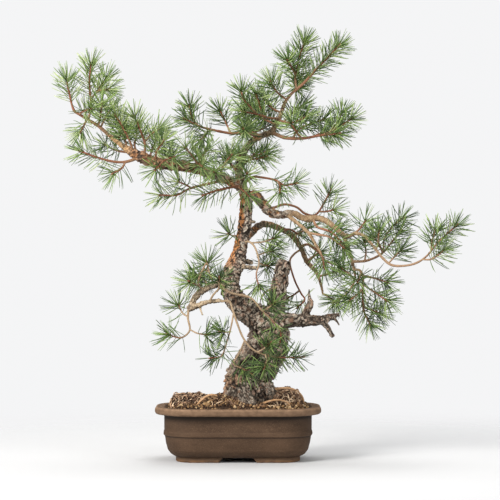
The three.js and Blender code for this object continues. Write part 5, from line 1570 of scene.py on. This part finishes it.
@dataclass
class Wood:
    """Roots, trunk, dead wood and branches, grown as one piece and carved with bark."""

    voxel: float = 1.52
    salt: int = 40
    sides: int = 28
    softenings: int = 3
    chunk: int = 20000
    limbs: list[Limb] = field(default_factory=list)

    def __post_init__(self) -> None:
        """Names what each limb of the skeleton is."""
        lists = [([TRUNK], Kind.TRUNK), (DEAD_WOOD, Kind.DEAD), (list(BRANCHES.values()), Kind.LIVING),
                 ([*ROOTS, ROOT_FLAP], Kind.ROOT), (SURFACE_ROOTS, Kind.FIBRE)]
        self.limbs = [Limb(np.array(points, float), kind) for table, kind in lists for points in table]

    def tube(self, limb: Limb) -> Skin:
        """A limb before fusing: round, with slow swellings of its radius by layered noise."""
        count = 8 * (len(limb.points) - 1) + 1
        path, radii = limb.stations(count)
        _, side, up = (f[0] for f in frames_of(path[None]))
        ring = spokes(side, up, round_angles(self.sides))
        place = (path[:, None] + ring * radii[:, None, None]).reshape(-1, 3)
        swell = layered(place / (6.0 + 0.55 * radii.max()), self.salt, 3).reshape(count, self.sides)
        reach = radii[:, None] * (1 + SWELLINGS[limb.kind] * swell)
        return bundle(path[None], reach[None], self.sides)

    def fused(self) -> tuple[Array, Array]:
        """Joins the limbs' tubes into one skin of small squares, and softens the forks.

        The softening moves each point half the way to the mean of its neighbours, a few times.

        Returns:
            Points, shape (n, 3), and faces, shape (m, 4).
        """
        rough = piece("limbs_before_fusing", [self.tube(limb) for limb in self.limbs], [])
        fuse = rough.modifiers.new("fuse", "REMESH")
        fuse.mode = "VOXEL"
        fuse.voxel_size = self.voxel * MM
        view = bpy.context.evaluated_depsgraph_get()
        mesh = rough.evaluated_get(view).to_mesh()
        points = np.empty(len(mesh.vertices) * 3, np.float32)
        mesh.vertices.foreach_get("co", points)
        faces = np.empty(len(mesh.loops), np.int32)
        mesh.loops.foreach_get("vertex_index", faces)
        edges = np.empty(len(mesh.edges) * 2, np.int32)
        mesh.edges.foreach_get("vertices", edges)
        quads_only = len(mesh.loops) == 4 * len(mesh.polygons)
        rough.to_mesh_clear()
        base = rough.data
        bpy.data.objects.remove(rough)
        bpy.data.meshes.remove(base)
        if not quads_only:
            raise ValueError("the fused wood has faces that aren't squares")
        points = points.reshape(-1, 3).astype(float) / MM - pot_middle() / MM
        a, b = edges.reshape(-1, 2).T
        ends, others = np.concatenate([a, b]), np.concatenate([b, a])
        meet = np.bincount(ends, minlength=len(points))[:, None]
        for _ in range(self.softenings):
            total = np.stack([np.bincount(ends, points[others, k], len(points)) for k in range(3)], axis=1)
            points = mix(points, total / meet, 0.5)
        return points, faces.reshape(-1, 4)

    def seats(self, points: Array) -> Seats:
        """Finds the limb under each point of the skin, and the point's place on it.

        The nearest station is the one with the least distance less its radius.

        Args:
            points: shape (n, 3).

        Returns:
            The points' seats.
        """
        lines = []
        for number, limb in enumerate(self.limbs):
            path, radii = limb.stations(6 * (len(limb.points) - 1) + 1)
            frames = np.stack([f[0] for f in frames_of(path[None])], axis=1)
            lines.append((path, radii, frames, walked(path), np.full(len(path), number)))
        place, radius, frames, length, owner = (np.concatenate(column) for column in zip(*lines))
        best = np.empty(len(points), int)
        square = (place**2).sum(axis=1)
        for start in range(0, len(points), self.chunk):
            some = points[start : start + self.chunk]
            apart = (some**2).sum(axis=1)[:, None] + square - 2 * some @ place.T
            best[start : start + self.chunk] = np.argmin(np.sqrt(np.maximum(apart, 0)) - radius, axis=1)
        way = points - place[best]
        across = np.einsum("nij,nj->ni", frames[best], way)
        across[:, 0] += length[best]
        kinds = np.array([limb.kind for limb in self.limbs], object)
        return Seats(owner[best], kinds[owner[best]], radius[best], across[:, [1, 2, 0]], way[:, 0] / radius[best])

    def build(self) -> None:
        """Makes the wood in one piece, and the thinnest bare twigs on it."""
        points, faces = self.fused()
        skin = Carving(points, faces, self.seats(points), self.salt).skin()
        dressed(piece("tree_wood", [skin], [Bark().paint()]), "bark", "wood")
        twigs = []
        for line in BARE_TWIGS:
            path, radii = Limb(np.array(line, float), Kind.LIVING).stations(30)
            radii = radii * (1 + 0.12 * noise(path / 4.0, self.salt))
            twigs.append(bundle(path[None], radii[None], 8).marked(pale=0.7))
        dressed(piece("bare_twigs", twigs, [Shoot().paint()]), "bark", "wood")


@dataclass(frozen=True)
class Growth:
    """How densely and how long a part of the tree carries its needles, how pale its twigs are, and light, painted
    light or shade that lifts or drops its needles' tone.

    The tuft at a shoot's tip opens to the angle opening, in radians off the shoot, and stands on the last
    share tuft of it.
    """

    pair_spacing: float
    tip_pairs: int
    opening: float
    shortest: float
    longest: float
    light: float = 0.0
    pale: float = 0.0
    tuft: float = 0.055


STRONG = Growth(pair_spacing=0.82, tip_pairs=16, opening=1.15, shortest=29.0, longest=36.0, light=-0.04)
TOP = Growth(pair_spacing=0.68, tip_pairs=18, opening=1.1, shortest=30.0, longest=37.0, light=0.03)
LEFT = Growth(pair_spacing=0.95, tip_pairs=14, opening=1.1, shortest=31.0, longest=37.5, light=0.1)
SHADED = Growth(pair_spacing=1.45, tip_pairs=12, opening=1.3, shortest=31.0, longest=38.0)
HANGING = Growth(pair_spacing=1.15, tip_pairs=15, opening=1.3, shortest=31.0, longest=38.0, light=-0.15, pale=0.3)
FAR = Growth(pair_spacing=1.0, tip_pairs=15, opening=1.1, shortest=30.0, longest=37.0, light=-0.12, pale=0.6)
SPARSE = Growth(pair_spacing=2.1, tip_pairs=24, opening=1.7, shortest=33.0, longest=39.0, light=-0.10, pale=1.0,
                tuft=0.09)
FRONT = Growth(pair_spacing=1.2, tip_pairs=34, opening=1.9, shortest=28.0, longest=35.0, light=-0.28, pale=1.0,
               tuft=0.38)
GROWTHS = {"crown_top": TOP, "crown_": STRONG, "left_end": LEFT, "right_far": FAR, "left_shoot": LEFT,
           "right_hanging": HANGING, "right_behind": HANGING, "right_low": HANGING, "low_left": SPARSE,
           "trunk_": SPARSE, "front_": FRONT}


@dataclass
class Twig:
    """One shoot of a spray: its path, its first radius and where its needles begin."""

    points: Array
    start: float
    leafy: float

    def line(self) -> Array:
        """Places close together along the twig, shape (n, 3)."""
        return smooth_path(spot(self.points), np.linspace(0, 1, 90))

    def even(self, count: int) -> tuple[Array, Array]:
        """Places and tangents at even lengths along the twig, both shape (count, 3)."""
        fine = self.line()
        far = walked(fine)
        at = np.linspace(0.0, far[-1], count)
        path = np.stack([np.interp(at, far, fine[:, k]) for k in range(3)], axis=1)
        return path, unit(np.gradient(path, axis=0))

    def length(self) -> float:
        """The twig's length in millimetres."""
        return float(np.linalg.norm(np.diff(self.line(), axis=0), axis=1).sum())


@dataclass
class Pairs:
    """Needle pairs: root places, the twig's tangents, outward directions and leans in radians, one row each."""

    place: Array
    tangent: Array
    out: Array
    lean: Array

    def ways(self) -> Array:
        """The direction in which each pair leaves the twig: the tangent tipped outwards by the lean."""
        return np.cos(self.lean)[:, None] * self.tangent + np.sin(self.lean)[:, None] * self.out


@dataclass
class Spray:
    """One leafy branch: brown shoots, a bud on each, and paired needles that wind round them."""

    name: str
    twigs: list[Twig]
    seed: int
    kind: Growth
    needle_radius: float = 0.6
    shoot_radius: float = 1.9
    tip_radius: float = 1.45
    bud_length: float = 7.5
    stations: int = 160

    def shoots(self) -> list[Skin]:
        """Tapering round twigs with small swellings where years end."""
        skins = []
        for twig in self.twigs:
            count = int(twig.length() / 3.0) + 8
            path, _ = twig.even(count)
            radii = mix(max(twig.start, self.shoot_radius), self.tip_radius, np.linspace(0, 1, count))
            radii *= 1 + 0.12 * noise(path / 4.0, self.seed)
            radii *= 1.0 - 0.18 * self.kind.pale
            skin = bundle(path[None], radii[None], 8)
            skins.append(skin.marked(pale=self.kind.pale * (1 - soft_step(skin.marks["along"], 0.55, 0.95))))
        return skins

    def buds(self) -> Skin:
        """Pointed buds: the radius swells by a sine of the length to its 0.8th power, and steps at each scale."""
        t = np.linspace(0.0, 1.0, 11)
        scales = 1 + 0.13 * np.where(np.arange(len(t)) % 2, 1, -1)
        swell = np.sin(np.pi * (0.16 + 0.84 * t**0.8)) * scales
        paths, radii = [], []
        for twig in self.twigs:
            path, tangent = twig.even(30)
            size = self.bud_length * (0.8 if twig.start < 2 else 1.0)
            paths.append(path[-1] + tangent[-1] * (t * size - 1.0)[:, None])
            radii.append(np.maximum(0.28 * size * swell, 0.12))
        return bundle(np.array(paths), np.array(radii), 7)

    def pairs_on(self, twig: Twig, rng: np.random.Generator) -> Pairs:
        """Places the needle pairs of one twig.

        Pairs wind up the leafy stretch by the golden angle, leaning from about 68 degrees off the twig low
        down to about 56 near its tip, and a last tuft opens forward round the bud.

        Args:
            twig: the twig.
            rng: the spray's random numbers.

        Returns:
            The pairs, the tuft's last.
        """
        tuft = self.kind.tip_pairs
        last = self.stations - 1
        count = max(int(twig.length() * (1 - twig.leafy) / self.kind.pair_spacing), 6)
        path, tangent = twig.even(self.stations)
        u = np.linspace(0.0, 1.0, count) ** 0.92
        at = mix(twig.leafy, 0.985, u) * last
        at = np.concatenate([at, rng.uniform(last * (1 - self.kind.tuft), last - 0.1, tuft)])
        u = np.concatenate([u, np.full(tuft, 1.0)])
        low = np.minimum(at.astype(int), last - 1)
        way = tangent[low]
        side = unit(np.cross(way, np.array([0.31, 0.52, 0.79])))
        up = np.cross(way, side)
        turn = GOLDEN_ANGLE * np.arange(len(at)) + rng.normal(0, 0.25, len(at)) + rng.uniform(0, 6)
        out = np.cos(turn)[:, None] * side + np.sin(turn)[:, None] * up
        lean = mix(1.18, 0.98, u**1.6) + rng.normal(0, 0.16, len(at))
        share = (np.arange(tuft) + 0.5) / tuft
        lean[-tuft:] = self.kind.opening * np.sqrt(share) + rng.normal(0, 0.16, tuft)
        return Pairs(mix(path[low], path[low + 1], (at - low)[:, None]), way, out, lean)

    def needles(self) -> Skin:
        """Curved three-sided needles, two from each root.

        Station s of a needle is root + length (s d + 0.5 s^2 bend), where d leans out from the twig and
        bend is a small pull towards the twig's tip, to one side and up. The two of a pair part by about
        four degrees.
        """
        rng = np.random.default_rng(self.seed)
        on_twigs = [self.pairs_on(twig, rng) for twig in self.twigs]
        d = np.concatenate([pairs.ways() for pairs in on_twigs])
        place = np.concatenate([pairs.place for pairs in on_twigs])
        tangent = np.concatenate([pairs.tangent for pairs in on_twigs])
        count = len(place)
        aside = unit(np.cross(d, tangent) + 1e-4)
        part = rng.normal(0.036, 0.02, count)[:, None]
        pair = np.concatenate([unit(d + part * aside), unit(d - part * aside)])
        aside, tangent, place = np.tile(aside, (2, 1)), np.tile(tangent, (2, 1)), np.tile(place, (2, 1))
        bend = 0.19 * tangent + rng.normal(0, 0.13, (2 * count, 1)) * aside + np.array([0, 0, 0.03])
        bend = bend - (bend * pair).sum(axis=1, keepdims=True) * pair
        length = np.tile(rng.uniform(self.kind.shortest, self.kind.longest, count), 2)
        s = np.array([0.0, 0.3, 0.72, 1.0])[None, :, None]
        paths = place[:, None] + length[:, None, None] * (s * pair[:, None] + 0.5 * s**2 * bend[:, None])
        radii = self.needle_radius * np.array([0.9, 1.0, 0.96, 0.45])[None] * rng.uniform(0.85, 1.1, (2 * count, 1))
        skin = bundle(paths, radii, 3, turn=0.5)
        # painted light: needles towards the front are lighter, and each part's light adds painted light or shade
        front = soft_step(-place[:, 1], -60, 90)
        tone = np.tile(rng.beta(0.75, 1.1, count), 2) * 0.9 + 0.1 * front + rng.normal(0.0, 0.06, 2 * count)
        tone = np.clip(tone + self.kind.light, 0, 1)
        return skin.marked(tone=tone[skin.marks["tube"].astype(int)])

    def build(self, paints: list[Material]) -> int:
        """Makes the spray and returns its needle count."""
        shoots, buds, needles = self.shoots(), self.buds(), self.needles()
        buds.paint, needles.paint = 1, 2
        thing = piece(f"foliage_{self.name}", [*shoots, buds, needles], paints)
        dressed(thing, "needles", f"spray_{self.name}")
        return int(needles.marks["tube"].max()) + 1


@dataclass
class Foliage:
    """All the sprays, each with its own seed."""

    seed: int = 700

    def build(self) -> None:
        """Makes every spray in the order of the table."""
        paints = [Shoot().paint(), Bud().paint(), Needle().paint()]
        total = 0
        for number, (name, twigs) in enumerate(SPRAYS.items()):
            shoots = [Twig(np.array(points, float), start, leafy) for points, start, leafy in twigs]
            kind = next((growth for start, growth in GROWTHS.items() if name.startswith(start)), SHADED)
            total += Spray(name, shoots, self.seed + number, kind).build(paints)
        log.info("foliage: %d needles", total)


# Room


@dataclass(frozen=True)
class Lamp:
    """A square soft light: where it hangs and how wide it is, in metres, its watts and its colour."""

    name: str
    place: Triple
    size: float
    watts: float
    color: Color

    def hang(self, towards: Array) -> None:
        """Hangs the light so that it faces a place."""
        data = bpy.data.lights.new(self.name, "AREA")
        data.shape = "SQUARE"
        data.size = self.size
        data.energy = self.watts
        data.color = self.color
        lamp = placed(self.name, data)
        lamp.location = self.place
        way = unit(towards - np.array(self.place))
        lamp.rotation_euler = (math.pi - math.acos(way[2]), 0.0, math.atan2(way[1], way[0]) - math.pi / 2)


@dataclass
class Studio:
    """Pale floor that fades out, soft lights and the camera at the photograph's place. Lengths are metres."""

    focal_length: float = 138.8
    film_width: float = 36.0
    floor_radius: float = 1.2
    fade_from: float = 0.2
    floor_shape: tuple[int, int] = (12, 96)
    backdrop_radius: float = 14.0
    backdrop_shape: tuple[int, int] = (25, 48)
    ambient: float = 0.42
    middle_height: float = 0.38
    backdrop_glow: Color = (0.91, 0.912, 0.92)
    floor_color: Color = (0.64, 0.64, 0.643)
    lamps: tuple[Lamp, ...] = (
        Lamp("key", (-1.9, -2.4, 2.3), 1.1, 130.0, (1.0, 0.985, 0.96)),
        Lamp("fill", (2.4, -2.0, 1.0), 1.6, 45.0, (0.97, 0.985, 1.0)),
        Lamp("low", (-2.2, -1.9, 0.45), 1.4, 38.0, (1.0, 0.99, 0.97)),
        Lamp("top", (0.3, 0.6, 3.2), 1.8, 60.0, (1.0, 1.0, 1.0)),
    )

    def camera(self) -> None:
        """Level camera 3.5 m in front of the pot."""
        lows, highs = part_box("pot")
        data = bpy.data.cameras.new("camera")
        data.lens = self.focal_length
        data.sensor_width = self.film_width
        data.clip_end = 50.0
        eye = placed("camera", data)
        middle = (lows + highs) / 2
        eye.location = (middle[0] + (EYE_X - 0.4) * MM, middle[1] - EYE_DISTANCE * MM, (EYE_Z + 0.2) * MM)
        eye.rotation_euler = (math.pi / 2, 0.0, 0.0)
        bpy.context.scene.camera = eye

    def staged(self, name: str, points: Array, faces: list[list[int]], paint: Material) -> bpy.types.Object:
        """Makes one piece of the room, which isn't part of the object.

        Args:
            name: the piece's name.
            points: its places in metres.
            faces: the corners of each face.
            paint: its material.

        Returns:
            The new object.
        """
        mesh = bpy.data.meshes.new(name)
        mesh.from_pydata(points.tolist(), [], faces)
        mesh.materials.append(paint)
        thing = placed(name, mesh)
        return thing

    def backdrop(self) -> None:
        """Even pale ball round the room, seen but casting neither light nor shadow.

        Point (row, i) is the radius times the direction at the row's height angle and the i-th turn.
        """
        rows, count = self.backdrop_shape
        rise, turn = np.meshgrid(np.linspace(0.01, math.pi - 0.01, rows), round_angles(count), indexing="ij")
        way = np.stack([np.sin(rise) * np.cos(turn), np.sin(rise) * np.sin(turn), np.cos(rise)], axis=-1)
        g = Graph("backdrop_paint", roughness=1.0, specular=0.0)
        g.feed(g.surface.inputs["Base Color"], (0.0, 0.0, 0.0))
        g.feed(g.surface.inputs["Emission Color"], self.backdrop_glow)
        g.feed(g.surface.inputs["Emission Strength"], 1.0)
        points = self.backdrop_radius * way.reshape(-1, 3)
        ball = self.staged("backdrop", points, strip(rows, count).tolist(), g.material)
        ball.visible_diffuse = ball.visible_glossy = ball.visible_transmission = ball.visible_shadow = False

    def floor(self) -> None:
        """Round floor whose paint fades to nothing towards its edge."""
        rows, count = self.floor_shape
        angle = round_angles(count)
        radius = np.linspace(0.02, self.floor_radius, rows)
        x, y = np.outer(radius, np.cos(angle)), np.outer(radius, np.sin(angle))
        points = np.vstack([np.dstack([x, y, 0 * x]).reshape(-1, 3), [[0.0, 0.0, 0.0]]])
        faces = strip(rows, count, turned=True).tolist() + fan(rows * count, 0, count).tolist()
        g = Graph("pale_floor", roughness=0.9, specular=0.1)
        g.feed(g.surface.inputs["Base Color"], self.floor_color)
        clear = g.nodes.new("ShaderNodeBsdfTransparent")
        mixed = g.nodes.new("ShaderNodeMixShader")
        g.links.new(g.mark("fade"), mixed.inputs["Fac"])
        g.links.new(g.surface.outputs["BSDF"], mixed.inputs[1])
        g.links.new(clear.outputs["BSDF"], mixed.inputs[2])
        g.links.new(mixed.outputs["Shader"], g.nodes["Material Output"].inputs["Surface"])
        ground = self.staged("floor", points, faces, g.material)
        layer = ground.data.attributes.new("fade", "FLOAT", "POINT")
        fade = soft_step(np.linalg.norm(points[:, :2], axis=1), self.fade_from, self.floor_radius * 0.98)
        layer.data.foreach_set("value", fade.astype(np.float32))

    def build(self) -> None:
        """Camera first, then world, lights and floor."""
        self.camera()
        world = bpy.data.worlds.new("room")
        world.use_nodes = True
        world.node_tree.nodes["Background"].inputs["Color"].default_value = (1.0, 1.0, 1.0, 1.0)
        world.node_tree.nodes["Background"].inputs["Strength"].default_value = self.ambient
        bpy.context.scene.world = world
        bpy.context.scene.view_settings.view_transform = "Standard"
        for lamp in self.lamps:
            lamp.hang(np.array([0.0, 0.0, self.middle_height]))
        self.backdrop()
        self.floor()


def main() -> None:
    """Builds the room, the pot with its soil, the wood and the foliage."""
    logging.basicConfig(level=logging.INFO, format="%(message)s")
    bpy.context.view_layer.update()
    Studio().build()
    pot = Pot()
    pot.build()
    Soil(pot).build()
    screen = ScreenPlastic().paint()
    for name in ("drain_screen_left", "drain_screen_right"):
        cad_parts[name].data.materials.clear()
        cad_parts[name].data.materials.append(screen)
    Wood().build()
    Foliage().build()


if __name__ == "__main__":
    main()
